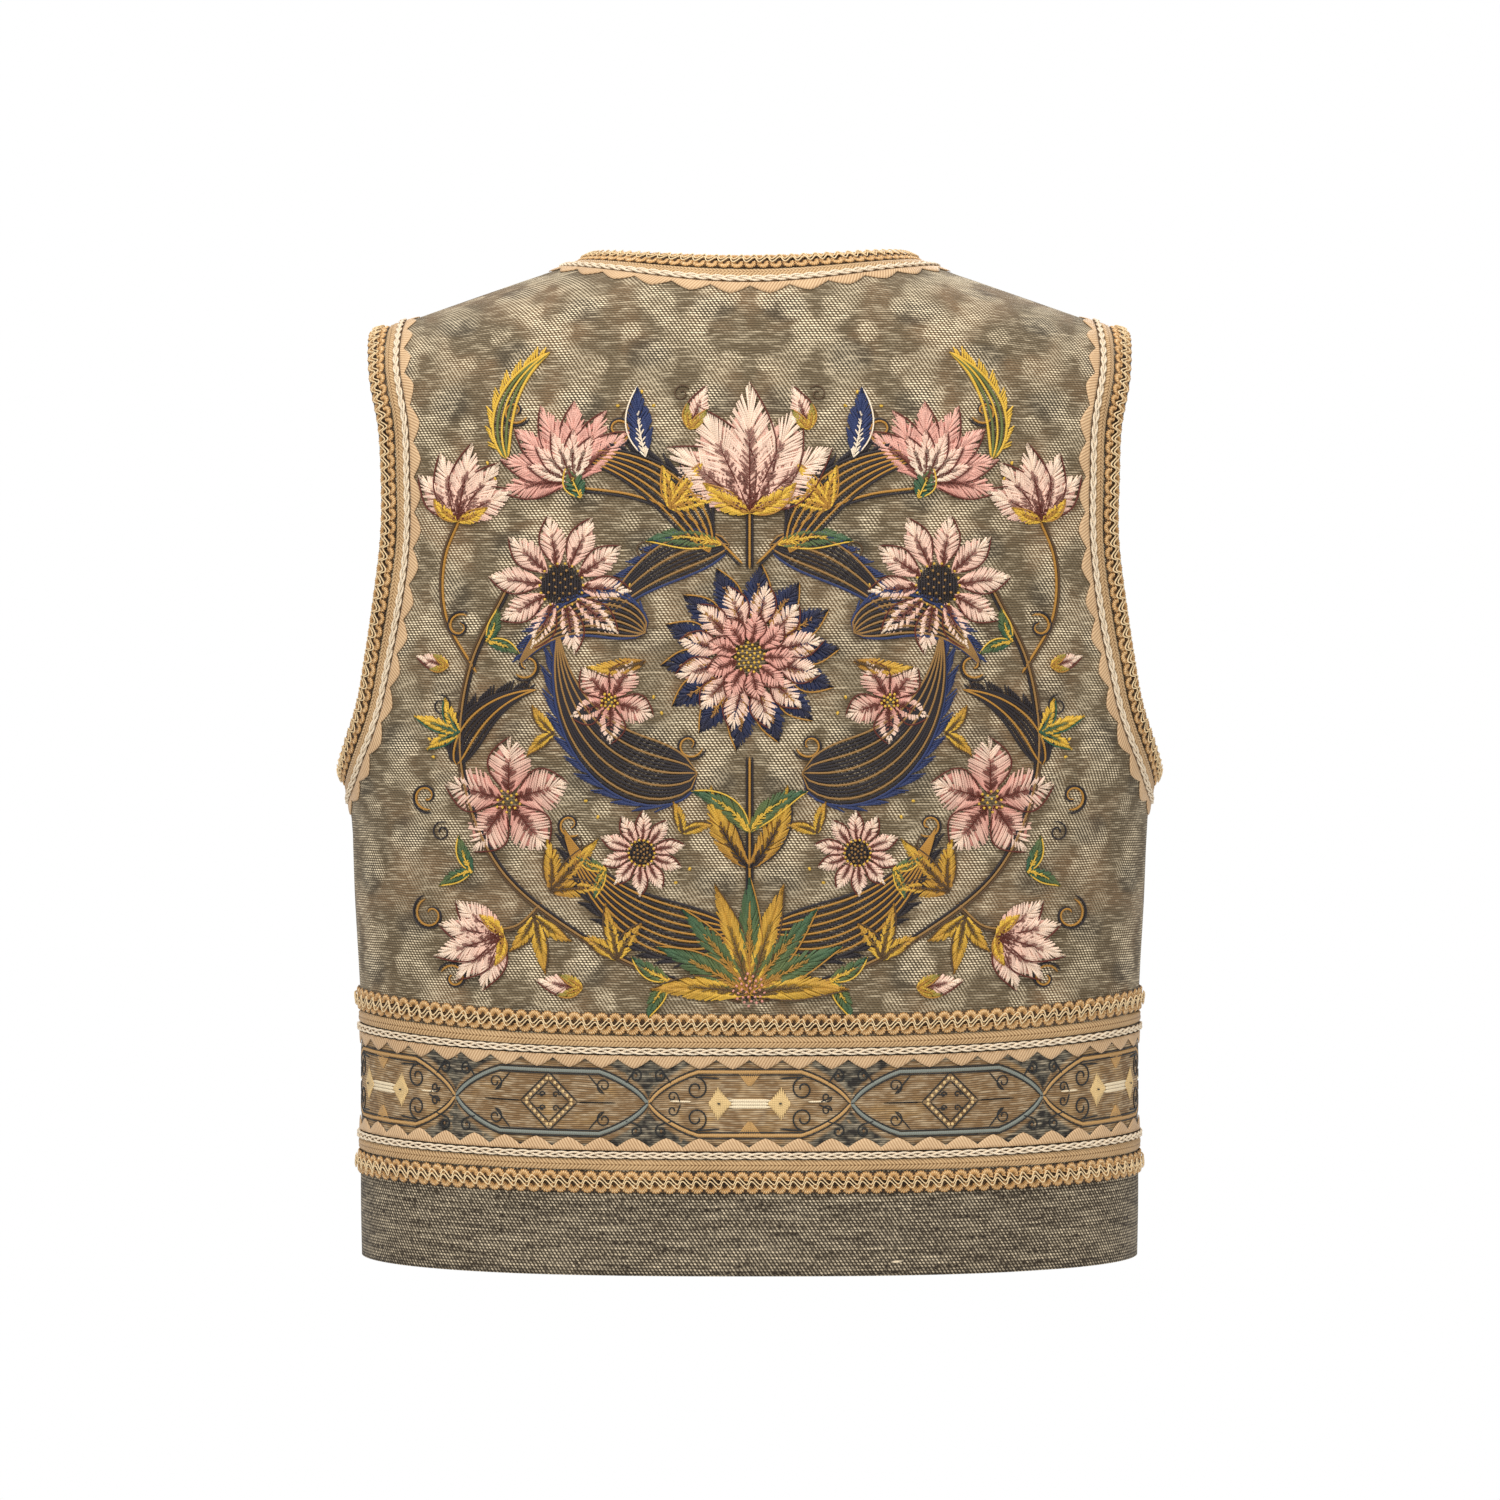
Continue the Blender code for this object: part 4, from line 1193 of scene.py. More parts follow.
def edge(base, angle, length, bend, t, reach):
    # A line beside the midline, reach away from it, square to its heading
    heading = angle + bend * t
    across = np.stack([-np.sin(heading), np.cos(heading)], axis=-1)
    return midline(base, angle, length, bend, t) + across * np.asarray(reach)[..., None]


def beside(shape, t, share):
    # The line over a shape at this share of its half width w sin(pi t^blunt)
    base, angle, length, width, bend, blunt = shape
    return edge(base, angle, length, bend, t, share * width * np.sin(math.pi * t**blunt))


def threads(line, out, wide, high, colour):
    # A set of threads of one kind: their lines over the cloth as x and height, and their sizes and dyes
    count, long = line.shape[:2]
    return {"line": line, "out": np.broadcast_to(out, (count, long)), "wide": np.broadcast_to(wide, count),
            "high": np.broadcast_to(high, count), "dye": np.broadcast_to(colour, (count, 3))}


def mixed(first, second, share):
    # (1 - share) first + share second, for a row of shares
    share = np.asarray(share)[..., None]
    return (1 - share) * np.asarray(first) + share * np.asarray(second)


def satin(starts, ends, colour, layer, wide=sewing["satinWide"]):
    # Straight stitches from starts to ends, arched out of the cloth, their dye a little uneven
    t = np.array([0, 0.5, 1])
    line = starts[:, None] + (ends - starts)[:, None] * t[:, None]
    rise = sewing["base"] + layer * sewing["layer"] + sewing["arch"] * np.array([-0.8, 1.0, -0.8])
    shade = rng.uniform(*sewing["dyeSpread"], (len(starts), 1))
    return threads(line, rise[None], wide, sewing["satinHigh"], np.clip(np.asarray(colour) * shade, 0, 1))


def cordAlong(line, colour, layer, wide):
    # One cord along a line of places
    rise = sewing["base"] + layer * sewing["layer"]
    return threads(np.asarray(line)[None], rise, wide, wide * 0.9, np.asarray(colour)[None])


def petal(base, angle, length, width, dyes, bend=0.0, blunt=0.8, layer=0.0):
    # Satin petal of half width w sin(pi t^blunt): over three lines of padding, stitches slant forward
    # from the midline to both edges, short dark ones lie over their roots, and a cord follows one edge
    shape = (base, angle, length, width, bend, blunt)
    light, tip, dark = (np.asarray(dye[name]) for name in dyes)
    count = max(5, int(length / sewing["step"]))
    padding = [beside(shape, np.linspace(0.12, 0.80, 6), share) for share in sewing["padding"]]
    rise = sewing["base"] + layer * sewing["layer"] - sewing["paddingDrop"]
    made = [threads(np.array(padding), rise, sewing["paddingWide"] * width, sewing["paddingHigh"],
                    0.92 * light)]
    t = np.linspace(0.0, 0.93, count)
    starts = midline(base, angle, length, bend, t)
    least, more = sewing["slant"]
    for side in (-1, 1):
        ahead = np.minimum(1, t + least + more * rng.random(count))
        ends = beside(shape, ahead, side * rng.uniform(*sewing["edgeSpread"], count))
        made.append(satin(starts, ends, mixed(light, tip, t), layer))
        part = rng.uniform(*sewing["shortSpread"], (count, 1)) * (1.15 - t[:, None])
        keep = (rng.random(count) < sewing["shortShare"]) & (t < sewing["shortEnd"])
        short = (starts + (ends - starts) * part)[keep]
        darker = mixed(dark, light, 0.5 * t[keep])
        made.append(satin(starts[keep], short, darker, layer + 0.9, sewing["shortWide"]))
    vein = midline(base, angle, length, bend, np.linspace(0.02, 0.56, 6))
    made.append(cordAlong(vein, dark, layer + 1.3, sewing["veinWide"]))
    rim = beside(shape, np.linspace(0.04, 1, 12), -1)
    made.append(cordAlong(rim, dark, layer + 0.6, sewing["rimWide"]))
    return made


def leaf(base, angle, length, width, dyes, bend=0.0, layer=0.0):
    # A petal that is broadest near its middle
    return petal(base, angle, length, width, dyes, bend, 0.9, layer)


def plume(base, angle, length, width, bend, dyes, blunt, layer=0.0, every=4):
    # A scroll of cords side by side, base + length t with offsets k w sin(pi t^blunt), every second or
    # fourth one thin and light, with a fringe of short stitches along its outer edge
    shape = (base, angle, length, width, bend, blunt)
    t = np.linspace(0.0, 1, 24)
    thin, broad = sewing["scrollWide"]
    made = []
    for k, share in enumerate(np.linspace(-1, 1, 2 * int(width / sewing["plumeGap"]) + 1)):
        if k % every == every // 2:
            made.append(cordAlong(beside(shape, t, share), dye[dyes[1]], layer + 0.5, thin))
        else:
            name = dyes[0] if abs(share) < 0.99 else dyes[2]
            made.append(cordAlong(beside(shape, t, share), dye[name], layer, broad))
    side = -np.sign(bend)
    t = np.linspace(0.10, 0.94, int(length / sewing["fringeGap"]))
    least, more = sewing["fringe"]
    saw = np.mod(t * length / sewing["fringeRepeat"], 1)
    teeth = least + more * saw * rng.uniform(0.8, 1.1, len(t))
    reach = width * np.sin(math.pi * t**blunt) + teeth
    ends = edge(base, angle, length, bend, np.minimum(1, t + 0.05), side * reach)
    made.append(satin(beside(shape, t, side), ends, dye[dyes[2]], layer, sewing["fringeWide"]))
    return made


def knots(places, name, wide, layer):
    # Small knots: a short fat stitch at each place
    way = polar((0, 0), sewing["knotHalf"], rng.uniform(0, math.pi, len(places)))
    return [satin(places - way, places + way, dye[name], layer, wide)]


def whorl(centre, radius, count):
    # Places in a sunflower's spiral: r = R sqrt(k / n), each turned by the golden angle from the last
    k = np.arange(count) + 0.5
    return polar(centre, radius * np.sqrt(k / count), k * 2.39996)


def ringOf(centre, radius, petals, length, width, dyes, start, layer, blunt):
    # Petals all round a centre
    made = []
    for turn in start + np.arange(petals) * 2 * math.pi / petals:
        made += petal(polar(centre, radius, turn), turn, length * rng.uniform(0.93, 1.05), width, dyes,
                      rng.uniform(-0.15, 0.15), blunt, layer)
    return made


def fan(base, angle, spread, petals, length, width, dyes, layer, blunt, outer):
    # Petals side by side in a fan, the outer ones shorter and drawn last to first
    made = []
    for share in sorted(np.linspace(-1, 1, petals), key=lambda value: -abs(value)):
        long = length * (1 - (1 - outer) * abs(share))
        made += petal(base, angle + share * spread, long, width, dyes, 0.25 * share, blunt,
                      layer + 0.8 * (1 - abs(share)))
    return made


def stem(points, dyes, wide):
    # A stem of two or three cords along a smooth line through its points
    points = np.asarray(points, float)
    marks = np.concatenate([[0], np.cumsum(np.linalg.norm(np.diff(points, axis=0), axis=1))])
    along = np.linspace(0, marks[-1], max(8, int(marks[-1] / 0.002)))
    line = np.stack([smooth(marks, points[:, k], along) for k in (0, 1)], axis=-1)
    way = np.gradient(line, axis=0)
    across = np.stack([-way[:, 1], way[:, 0]], axis=-1) / np.linalg.norm(way, axis=1, keepdims=True)
    shares = np.linspace(-1, 1, len(dyes))
    return [cordAlong(line + across * share * wide, dye[name], 0.3 * (1 - abs(share)), 0.0015)
            for share, name in zip(shares, dyes)]


def curl(centre, radius, start, turns, *names):
    # Tendril: a spiral r = R (1 - 0.8 t), and with a second dye a smaller one inside it
    t = np.linspace(0, 1, 22)
    line = polar((0, 0), radius * (1 - 0.8 * t), start + turns * 2 * math.pi * t)
    wide = 0.0009 if len(names) == 1 else 0.0013
    return [cordAlong(centre + line * size, dye[name], 0.2, wide) for name, size in zip(names, (1, 0.80))]


def disc(centre, radius, name, layer):
    # A round filled with upright stitches side by side
    x = np.linspace(-0.92, 0.92, max(6, int(2 * radius / 0.0013))) * radius
    reach = np.sqrt(radius**2 - x**2)
    starts, ends = (np.asarray(centre) + np.stack([x, way * reach], axis=-1) for way in (-1, 1))
    return [satin(starts, ends, dye[name], layer, 0.0017)]


def tulip(base, angle, size):
    # Five upright petals over a gold calyx
    made = fan(base, angle, 0.78, 5, size, size * 0.205, pinks, 0.6, 0.95, 0.80)
    for side in (-1, 1):
        made += leaf(base, angle + side * 1.25, size * 0.42, size * 0.08, yellows, -side * 0.5, 1.8)
    heart = whorl(polar(base, 0.10 * size, angle), size * 0.10, 10)
    return made + knots(heart, "oxblood", 0.0018, 3.2)


def carnation(base, angle, size):
    # A wide fan of toothed petals, with a second row of paler ones and a scaled green cup
    made = fan(base, angle, 1.15, 7, size, size * 0.17, roses, 0.4, 1.15, 0.9)
    made += fan(base, angle, 0.7, 5, size * 0.66, size * 0.11, ("cream", "blush", "oxblood"), 2.0, 1.0, 0.9)
    cup = polar(base, -0.22 * size, angle)
    return made + leaf(cup, angle, size * 0.42, size * 0.13, ("green", "moss", "gold"), 0.0, 3.2)


def blossom(centre, size, start=0.3):
    # Five broad petals round a knotted eye
    made = ringOf(centre, size * 0.10, 5, size * 0.92, size * 0.34, ("rose", "cream", "oxblood"), start,
                  0.2, 1.1)
    return made + knots(whorl(centre, size * 0.20, 16), "gold", 0.0018, 3.0)


def daisy(centre, size, start=0.1):
    # Ten narrow petals in two dyes round a dark eye ringed with gold
    made = ringOf(centre, size * 0.26, 10, size * 0.76, size * 0.185, pinks, start, 0.2, 1.05)
    made += disc(centre, size * 0.28, "charcoal", 1.0)
    made += knots(whorl(centre, size * 0.22, 18), "tan", 0.0018, 2.2)
    turns = np.linspace(0, 2 * math.pi, 18, endpoint=False)
    return made + knots(polar(centre, 0.30 * size, turns), "gold", 0.0016, 2.4)


def bud(base, angle, size):
    # One petal between two small leaves
    made = petal(base, angle, size, size * 0.24, pinks, 0.1, 0.7, 0.4)
    for side in (-1, 1):
        made += leaf(base, angle + side * 0.6, size * 0.55, size * 0.10, ("gold", "moss", "ochre"),
                     -side * 0.4, 1.6)
    return made


def spray(base, angle, size, dyes, leaves=3):
    # Leaves fanned from one place
    made = []
    for share in np.linspace(-1, 1, leaves):
        long = size * (1 - 0.25 * abs(share))
        made += leaf(base, angle + share * 0.55, long, size * 0.13, dyes, 0.5 * share, 0.2)
    return made


def roundel():
    # The large flower at the middle of the back: three rings of petals round a knotted heart
    centre = (0.0, -0.212)
    made = ringOf(centre, 0.019, 14, 0.0275, 0.0070, ("navy", "charcoal", "ochre"), 0.11, 0.0, 0.9)
    made += ringOf(centre, 0.014, 12, 0.0235, 0.0068, pinks, 0.26, 1.2, 1.05)
    made += ringOf(centre, 0.007, 9, 0.0160, 0.0058, roses, 0.0, 3.0, 1.0)
    return made + knots(whorl(centre, 0.0078, 34), "gold", 0.0018, 4.6)


def middleMotifs():
    # What stands on the centre line
    made = stem([(0, -0.385), (0, -0.330), (0, -0.262)], darks, 0.0014)
    made += stem([(0, -0.168), (0, -0.155), (0, -0.136)], darks, 0.0014)
    made += roundel()
    made += tulip((0.0, -0.140), math.pi / 2, 0.066)
    for share in (-1, -0.72, -0.44, -0.2, 0, 0.2, 0.44, 0.72, 1):
        dyes = golds if round(abs(share) * 5) % 2 else ("moss", "green", "ochre")
        made += leaf((0.0, -0.381), math.pi / 2 + share * 1.35, 0.060 - 0.010 * abs(share), 0.0062, dyes,
                     0.35 * share, 0.4 + abs(share))
    made += knots(whorl((0.0, -0.379), 0.0085, 30), "rose", 0.0020, 3.0)
    for side in (-1, 1):
        made += leaf((0.0, -0.318), math.pi / 2 + side * 0.78, 0.046, 0.0066, ("ochre", "gold", "charcoal"),
                     -side * 0.7, 0.2)
        made += leaf((0.0, -0.300), math.pi / 2 + side * 0.5, 0.036, 0.0050, greens, side * 0.9, 0.8)
    return made


def sideMotifs():
    # What stands to the right of the centre line, and again, mirrored, to the left
    made = stem([(0.004, -0.384), (0.044, -0.372), (0.088, -0.350), (0.126, -0.318), (0.145, -0.270),
                 (0.140, -0.215), (0.122, -0.178)], ("brown", "tan", "charcoal"), 0.0014)
    made += stem([(0.004, -0.166), (0.026, -0.146), (0.058, -0.132), (0.084, -0.128)],
                 ("charcoal", "ochre"), 0.0008)
    made += stem([(0.138, -0.220), (0.154, -0.190), (0.154, -0.160), (0.146, -0.140)],
                 ("brown", "ochre"), 0.0007)
    made += stem([(0.104, -0.336), (0.118, -0.348), (0.130, -0.350)], ("brown", "tan"), 0.0007)
    made += plume((0.026, -0.270), -0.25, 0.100, 0.0165, 2.1, blues, 0.55)
    made += plume((0.008, -0.350), -0.20, 0.100, 0.0140, 1.5, darks, 0.6, 0.0, 2)
    made += plume((0.010, -0.156), -0.10, 0.076, 0.0100, -0.9, blues, 0.6, -0.3)
    made += plume((0.052, -0.200), 0.75, 0.066, 0.0110, -2.0, blues, 0.6, 0.0, 2)
    made += plume((0.020, -0.160), 1.25, 0.092, 0.0100, -1.35, darks, 0.66, 0.0, 2)
    made += plume((0.148, -0.266), 1.75, 0.056, 0.0078, 1.3, darks, 0.6)
    made += plume((0.122, -0.112), 1.20, 0.058, 0.0050, 1.5, ("moss", "gold", "gold"), 0.7)
    made += leaf((0.052, -0.112), 1.30, 0.036, 0.0066, ("navy", "navy", "cream"), 0.3, 0.6)
    made += daisy((0.054, -0.310), 0.0215, 0.4)
    made += spray((0.034, -0.300), 2.10, 0.022, golds, 2)
    made += spray((0.072, -0.318), -0.40, 0.022, greens, 2)
    made += spray((0.098, -0.250), 0.10, 0.024, golds, 2)
    made += daisy((0.094, -0.176), 0.0365)
    made += carnation((0.088, -0.124), 1.15, 0.042)
    made += blossom((0.121, -0.284), 0.0325)
    made += tulip((0.124, -0.352), -0.30, 0.038)
    made += blossom((0.070, -0.234), 0.0225, 0.9)
    made += tulip((0.147, -0.143), 1.75, 0.040)
    made += bud((0.030, -0.098), 1.9, 0.024)
    made += bud((0.084, -0.378), 0.10, 0.024)
    made += bud((0.152, -0.216), 0.25, 0.018)
    made += spray((0.040, -0.138), 2.2, 0.030, yellows)
    made += spray((0.066, -0.364), 1.35, 0.030, golds)
    made += spray((0.100, -0.330), 2.30, 0.036, ("ochre", "gold", "brown"))
    made += spray((0.140, -0.320), 0.40, 0.026, ("green", "moss", "gold"), 2)
    made += spray((0.146, -0.250), 0.35, 0.026, ("gold", "gold", "green"))
    made += spray((0.132, -0.204), 2.70, 0.024, ("green", "moss", "gold"), 2)
    made += spray((0.040, -0.374), -0.25, 0.030, greens, 2)
    made += spray((0.108, -0.342), -1.75, 0.030, golds)
    made += leaf((0.014, -0.156), 0.35, 0.038, 0.0056, greens, -0.6)
    made += leaf((0.052, -0.214), -0.4, 0.030, 0.0046, ("ochre", "gold", "brown"), 0.6)
    for x, height, radius, start, turns, colour in (
        (0.058, -0.092, 0.0062, 0.0, 1.4, "brown"), (0.126, -0.098, 0.0058, 3.0, -1.3, "brown"),
        (0.156, -0.236, 0.0056, 1.5, 1.4, "charcoal"), (0.052, -0.158, 0.0054, 4.0, 1.4, "brown"),
        (0.156, -0.300, 0.0054, 2.0, -1.4, "charcoal"), (0.088, -0.306, 0.0052, 0.5, 1.3, "brown"),
        (0.062, -0.302, 0.0050, 3.5, -1.3, "brown"), (0.128, -0.236, 0.0050, 5.0, 1.3, "charcoal"),
        (0.034, -0.080, 0.0046, 2.6, -1.3, "brown"), (0.114, -0.228, 0.0046, 1.0, 1.3, "brown"),
    ):
        made += curl((x, height), radius, start, turns, colour)
    for x, height, radius, start, turns in (
        (0.162, -0.342, 0.0105, 1.2, -1.1), (0.164, -0.282, 0.0088, 4.4, 1.1),
        (0.112, -0.216, 0.0085, 5.6, -1.1), (0.030, -0.256, 0.0085, 3.4, 1.1),
        (0.066, -0.098, 0.0092, 5.2, -1.1), (0.150, -0.374, 0.0088, 0.4, 1.1),
        (0.146, -0.196, 0.0080, 2.2, -1.1), (0.090, -0.296, 0.0080, 4.0, 1.1),
        (0.118, -0.088, 0.0085, 3.6, 1.1),
    ):
        made += curl((x, height), radius, start, turns, "charcoal", "ochre")
    seeds = np.array([(0.048, -0.086), (0.054, -0.079), (0.066, -0.086), (0.128, -0.122), (0.132, -0.114),
                      (0.160, -0.262), (0.162, -0.253), (0.030, -0.318), (0.037, -0.325), (0.060, -0.176),
                      (0.076, -0.292), (0.082, -0.284), (0.044, -0.240), (0.048, -0.232)])
    return made + knots(seeds, "gold", 0.0028, 0.4)


# The band's figure: flat threads in the weave, the same in every repeat

def bandSurface(girth, height, out):
    # The cloth at this girth from the centre back and this level of the band
    turn = np.sign(girth) * np.interp(np.abs(girth) / mean["half"], girthTable, turnTable)
    return cloth(turn, levelFall(turn, band["middle"] + height), out)


def flat(line, name, wide, out=0.0002):
    # One flat thread of the band
    return threads(np.asarray(line, float)[None], out, wide, 0.0006, np.asarray(bandDyes[name])[None])


def bar(start, end, name, wide, count=8, out=0.0002):
    # One flat thread straight from start to end
    return flat(np.linspace(start, end, count), name, wide, out)


bandDyes = {
    "outline": linear(40, 40, 40)[:3],
    "blue": linear(128, 132, 122)[:3],
    "ochre": linear(190, 148, 92)[:3],
    "straw": linear(224, 190, 132)[:3],
    "cream": linear(236, 216, 180)[:3],
    "tan": linear(128, 98, 66)[:3],
}


def dot(place, half, name, wide):
    # A short thread, this far to both sides of its place
    return flat(np.asarray(place) + half * np.array([(-1, 0), (0, 0), (1, 0)]), name, wide)


def ogeeLine(sign, drop):
    # v = +- h min(1, 1.25 |cos(2 pi g / repeat)|^0.6), less a drop, from one crossing to the next
    share = np.linspace(-1, 1, 26)
    girth = band["repeat"] / 4 * np.sign(share) * (1 - (1 - np.abs(share)) ** 1.6)
    arch = np.minimum(1, 1.25 * np.abs(np.cos(2 * math.pi * girth / band["repeat"])) ** 0.6)
    return np.stack([girth, sign * np.maximum(0, (band["half"] - 0.0012) * arch - drop)], axis=-1)


def edging(middle, sign, name, drop, wide, thin):
    # Half the edge of an oval or a cell: a coloured cord between two dark ones
    return [flat(ogeeLine(sign, drop + 0.0015 * k) + (middle, 0), name if k == 1 else "outline",
                 wide if k == 1 else thin) for k in range(3)]


def scroll(centre, radius, start, turns, tail):
    # Spiral r = R (1 - 0.75 t) with a tail back to the oval
    t = np.linspace(0, 1, 20)
    ring = polar(centre, radius * (1 - 0.75 * t), start + turns * 2 * math.pi * t)
    ends = np.linspace(np.asarray(centre) + np.asarray(tail), ring[0], 7)[:-1]
    return np.vstack([ends, ring])


def ovalWithBow(middle):
    # An oval edged in ochre, with four scrolls, a cream bow with kite-shaped ends and two ochre wedges
    made = []
    for sign in (-1, 1):
        made += edging(middle, sign, "ochre", 0.0, 0.0021, 0.0008)
        for share in np.linspace(-1, 1, 9):
            made.append(bar((middle + 0.0056 * share, sign * (band["half"] - 0.0030)),
                            (middle + 0.0006 * share, sign * 0.0090), "ochre", 0.0013, 3))
        for side in (-1, 1):
            large = scroll((middle + side * 0.0275, sign * 0.0074), 0.0060, math.pi / 2 * sign,
                           side * sign * 1.3, (-side * 0.012, sign * 0.0052))
            small = scroll((middle + side * 0.0395, sign * 0.0034), 0.0028, 0.0,
                           -side * sign * 1.1, (-side * 0.004, -sign * 0.003))
            made += [flat(large, "outline", 0.0011), flat(small, "outline", 0.0009)]
    for height in (-0.0016, 0.0, 0.0016):
        made.append(bar((middle - 0.0110, height), (middle + 0.0110, height), "cream", 0.0021, 9))
    for side in (-1, 1):
        for share in np.linspace(0.02, 0.98, 11):
            reach = 0.0074 * min(share / 0.60 + 0.12, (1 - share) / 0.40 + 0.16)
            x = middle + side * (0.0100 + 0.0105 * share)
            made.append(bar((x, -reach), (x, reach), "straw", 0.0019, 5))
        eye, dash = middle + side * 0.0158, middle + side * 0.0355
        knot = (eye - side * 0.0008, 0), (eye + side * 0.0008, 0.0002)
        made.append(bar(*knot, "outline", 0.0012, 3, 0.0011))
        made.append(bar((dash - side * 0.0055, 0.0010), (dash + side * 0.0055, 0.0012), "cream", 0.0012))
    return made


def cellWithDiamond(middle):
    # A blue-grey edged cell with a diamond of pale dots, on a dark thread that crosses it, and scrolls in
    # the corners at both its ends
    made = []
    for sign in (-1, 1):
        made += edging(middle, sign, "blue", 0.0004, 0.0024, 0.0009)
        for side in (-1, 1):
            made.append(bar((middle + side * 0.0150, 0), (middle + side * 0.0350, 0), "outline", 0.0009))
            made.append(flat(scroll((middle + side * 0.0290, sign * 0.0085), 0.0040, -math.pi / 2 * sign,
                                    -side * sign * 1.3, (-side * 0.008, sign * 0.0050)), "outline", 0.0009))
            for way in (-1, 1):
                spot = (middle + side * band["repeat"] / 4 + way * 0.0066, sign * 0.0138)
                made.append(flat(scroll(spot, 0.0034, math.pi / 2, way * 1.2, (way * 0.006, -sign * 0.005)),
                                 "outline", 0.0010))
                made.append(dot(spot, 0.0005, "tan", 0.0022))
            run = np.linspace((middle + side * 0.0152, 0), (middle, sign * 0.0146), 9)
            for size in (1.0, 0.70):
                made.append(flat((run - (middle, 0)) * size + (middle, 0), "outline", 0.0008))
            for share in np.linspace(0.08, 0.92, 6):
                spot = (middle + side * 0.0129 * (1 - share), sign * 0.0124 * share)
                made.append(dot(spot, 0.0007, "straw", 0.0025))
            made.append(flat(scroll((middle + side * 0.0036, sign * 0.0034), 0.0017, 0.0, 1.0,
                                    (side * 0.003, 0.0)), "outline", 0.0008))
    return made


def cutOff(cord, reach):
    # A thread of the band up to the cut at the front opening, its end moved to the cut
    line = cord["line"][0].copy()
    inside = np.abs(line[:, 0]) < reach
    if inside.all():
        return [cord]
    kept = np.flatnonzero(inside)
    if len(line) == 3 or len(kept) < 3 or len(kept) <= kept[-1] - kept[0]:
        return []
    last, beyond = (kept[-1], kept[-1] + 1) if inside[0] else (kept[0], kept[0] - 1)
    girth = np.abs(line[:, 0])
    line[beyond] += (line[last] - line[beyond]) * (girth[beyond] - reach) / (girth[beyond] - girth[last])
    inside[beyond] = True
    return [dict(cord, line=line[None, inside], out=cord["out"][:, inside])]


def buildBandFigure(floss):
    # The figure all round: an oval, then a cell, and so on, cut off at the front opening
    reach = float(girthTable[-1]) * mean["half"] - 0.0012
    sets = []
    for step in range(-5, 6):
        middle = step * band["repeat"] / 2
        for cord in (ovalWithBow(middle) if step % 2 == 0 else cellWithDiamond(middle)):
            sets += cutOff(cord, reach)
    sewn("bandFigure", sets, floss, bandSurface)


def embroiderySurface(x, height, out):
    # The cloth at this x and height of the back
    places = placeOf(x, height)
    return cloth(places[..., 0], places[..., 1], out)


def threadFinish():
    # Floss: each thread its own dye, with the twist of its strands as fine slanting lines
    made, tree, shader = finish("floss", *sewing["surface"])
    colour = node(tree, "ShaderNodeAttribute", attribute_name="dye").outputs["Color"]
    _, xyz = woven(tree)
    slant = reckon(tree, "MULTIPLY_ADD", xyz[1], 0.25, xyz[0])
    twist = waveOf(tree, reckon(tree, "DIVIDE", slant, sewing["twist"]))
    stain(tree, shader, colour, reckon(tree, "MULTIPLY_ADD", twist, *sewing["shade"]))
    emboss(tree, shader, twist, *sewing["bump"])
    return made


def sewn(name, sets, made, surface):
    # One object from sets of threads: those with equally many points are laid out together
    parts = []
    for count in sorted({threadSet["line"].shape[1] for threadSet in sets}):
        alike = [threadSet for threadSet in sets if threadSet["line"].shape[1] == count]
        line, out, wide, high, colour = (np.concatenate([threadSet[key] for threadSet in alike])
                                         for key in ("line", "out", "wide", "high", "dye"))
        points, normals = surface(line[..., 0], line[..., 1], out)
        taper = np.ones(count)
        taper[[0, -1]] = 0.6 if count == 3 else 0.3
        tubes = strands(points, normals, wide[:, None], high[:, None], taper=taper)
        parts.append((tubes, np.repeat(colour, count * tubeSides, axis=0)))
    *geometry, colours = joined(parts)
    rgba = np.hstack([colours, np.ones((len(colours), 1))])
    piece = meshOf(name, *geometry, {"dye": rgba})
    piece.data.materials.append(made)
    pieces[name] = piece


def buildEmbroidery():
    # The back's embroidery in three pieces, and the band's figure
    floss = threadFinish()
    right = sideMotifs()
    left = [dict(threadSet, line=threadSet["line"] * np.array([-1, 1])) for threadSet in right]
    sewn("embroideryMiddle", middleMotifs(), floss, embroiderySurface)
    sewn("embroideryRight", right, floss, embroiderySurface)
    sewn("embroideryLeft", left, floss, embroiderySurface)
    buildBandFigure(floss)


print("embroidery")
buildEmbroidery()
print("sheets")
print("triangles", sum(2 * len(p.data.polygons) for p in pieces.values()))

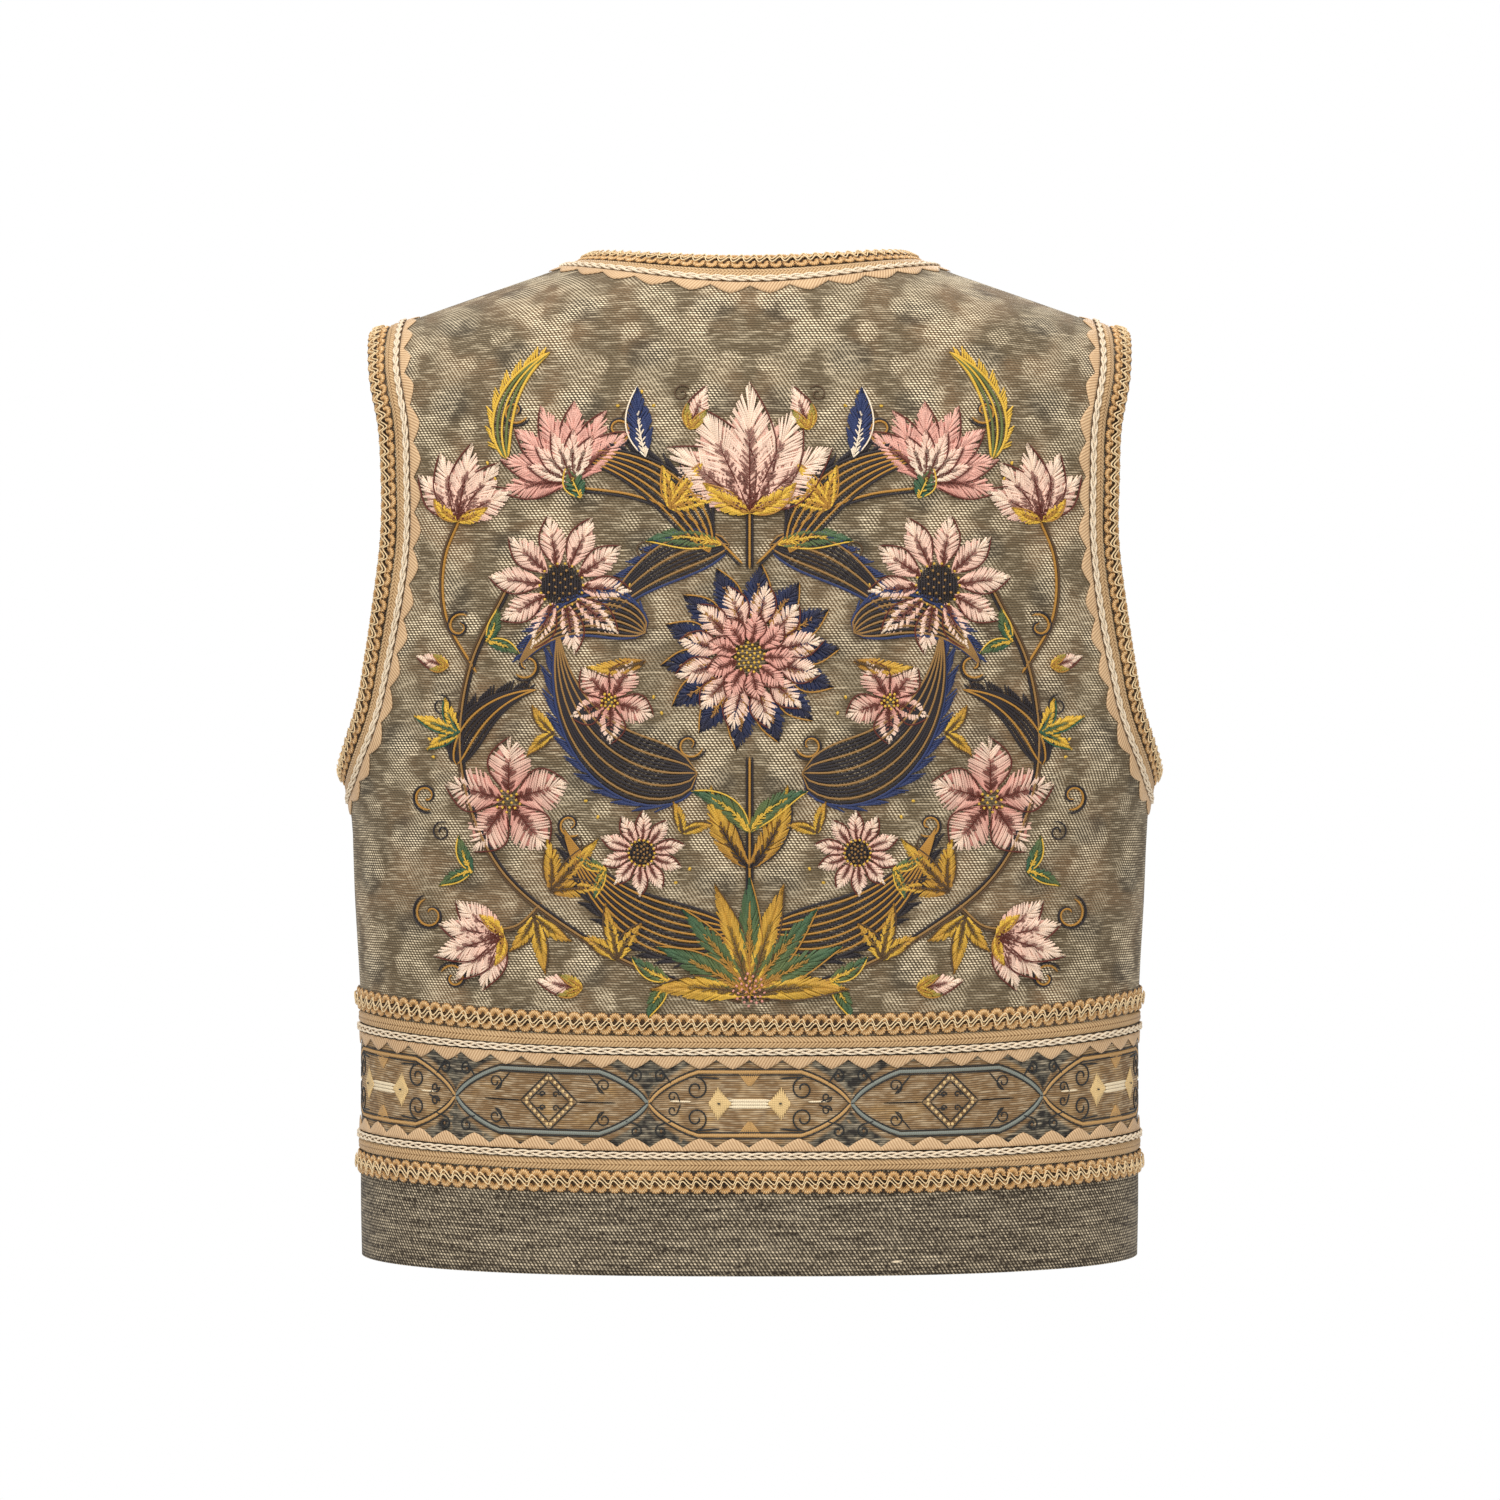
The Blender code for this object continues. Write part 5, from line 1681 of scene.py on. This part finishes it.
room = {
    "floor": (6.0, 3.0, -1.3),
    "floorTone": (0.95, 0.95, 0.95, 1),
    "aim": (0, 0, -0.26),
    "camera": (0.0002, -2.1, -0.2585),
    "lens": 96,
    "sensor": 36,
}
# Place, size and power of each lamp
lamps = {
    "key": ((-0.9, -1.9, 1.7), 1.2, 44),
    "fill": ((1.4, -2.1, 0.5), 1.6, 12),
    "rim": ((0.4, 2.4, 1.4), 1.6, 34),
    "top": ((0.1, -0.5, 2.2), 1.2, 26),
}


def studio():
    # A pale floor, a white surround, soft area lights and the photograph's camera
    scene = bpy.context.scene
    floor = bpy.data.meshes.new("floor")
    far, back, level = room["floor"]
    corners = [(-far, -far, level), (far, -far, level), (far, back, level), (-far, back, level)]
    floor.from_pydata(corners, [], [(0, 1, 2, 3)])
    ground = bpy.data.objects.new("floor", floor)
    scene.collection.objects.link(ground)
    made, tree, shader = finish("floor", 0.9)
    shader.inputs["Base Color"].default_value = room["floorTone"]
    floor.materials.append(made)
    world = bpy.data.worlds.new("studio")
    world.use_nodes = True
    tree = world.node_tree
    shown = node(tree, "ShaderNodeLightPath").outputs["Is Camera Ray"]
    strength = reckon(tree, "MULTIPLY_ADD", ramp(tree, shown, 0.0, 1.0), 0.5, 0.5)
    tree.nodes["Background"].inputs[0].default_value = (1, 1, 1, 1)
    tree.links.new(strength, tree.nodes["Background"].inputs[1])
    scene.world = world
    for name, (place, size, power) in lamps.items():
        lamp = bpy.data.lights.new(name, "AREA")
        lamp.size, lamp.energy = size, power
        holder = bpy.data.objects.new(name, lamp)
        holder.location = place
        aim = np.array(room["aim"]) - np.array(place)
        holder.rotation_euler = (math.atan2(math.hypot(aim[0], aim[1]), -aim[2]), 0,
                                 math.atan2(aim[1], aim[0]) - math.pi / 2)
        scene.collection.objects.link(holder)
    camera = bpy.data.cameras.new("camera")
    camera.lens, camera.sensor_width = room["lens"], room["sensor"]
    holder = bpy.data.objects.new("camera", camera)
    holder.location, holder.rotation_euler = room["camera"], (math.pi / 2, 0, 0)
    scene.collection.objects.link(holder)
    scene.camera = holder
    scene.view_settings.view_transform = "Standard"


print("studio")
studio()
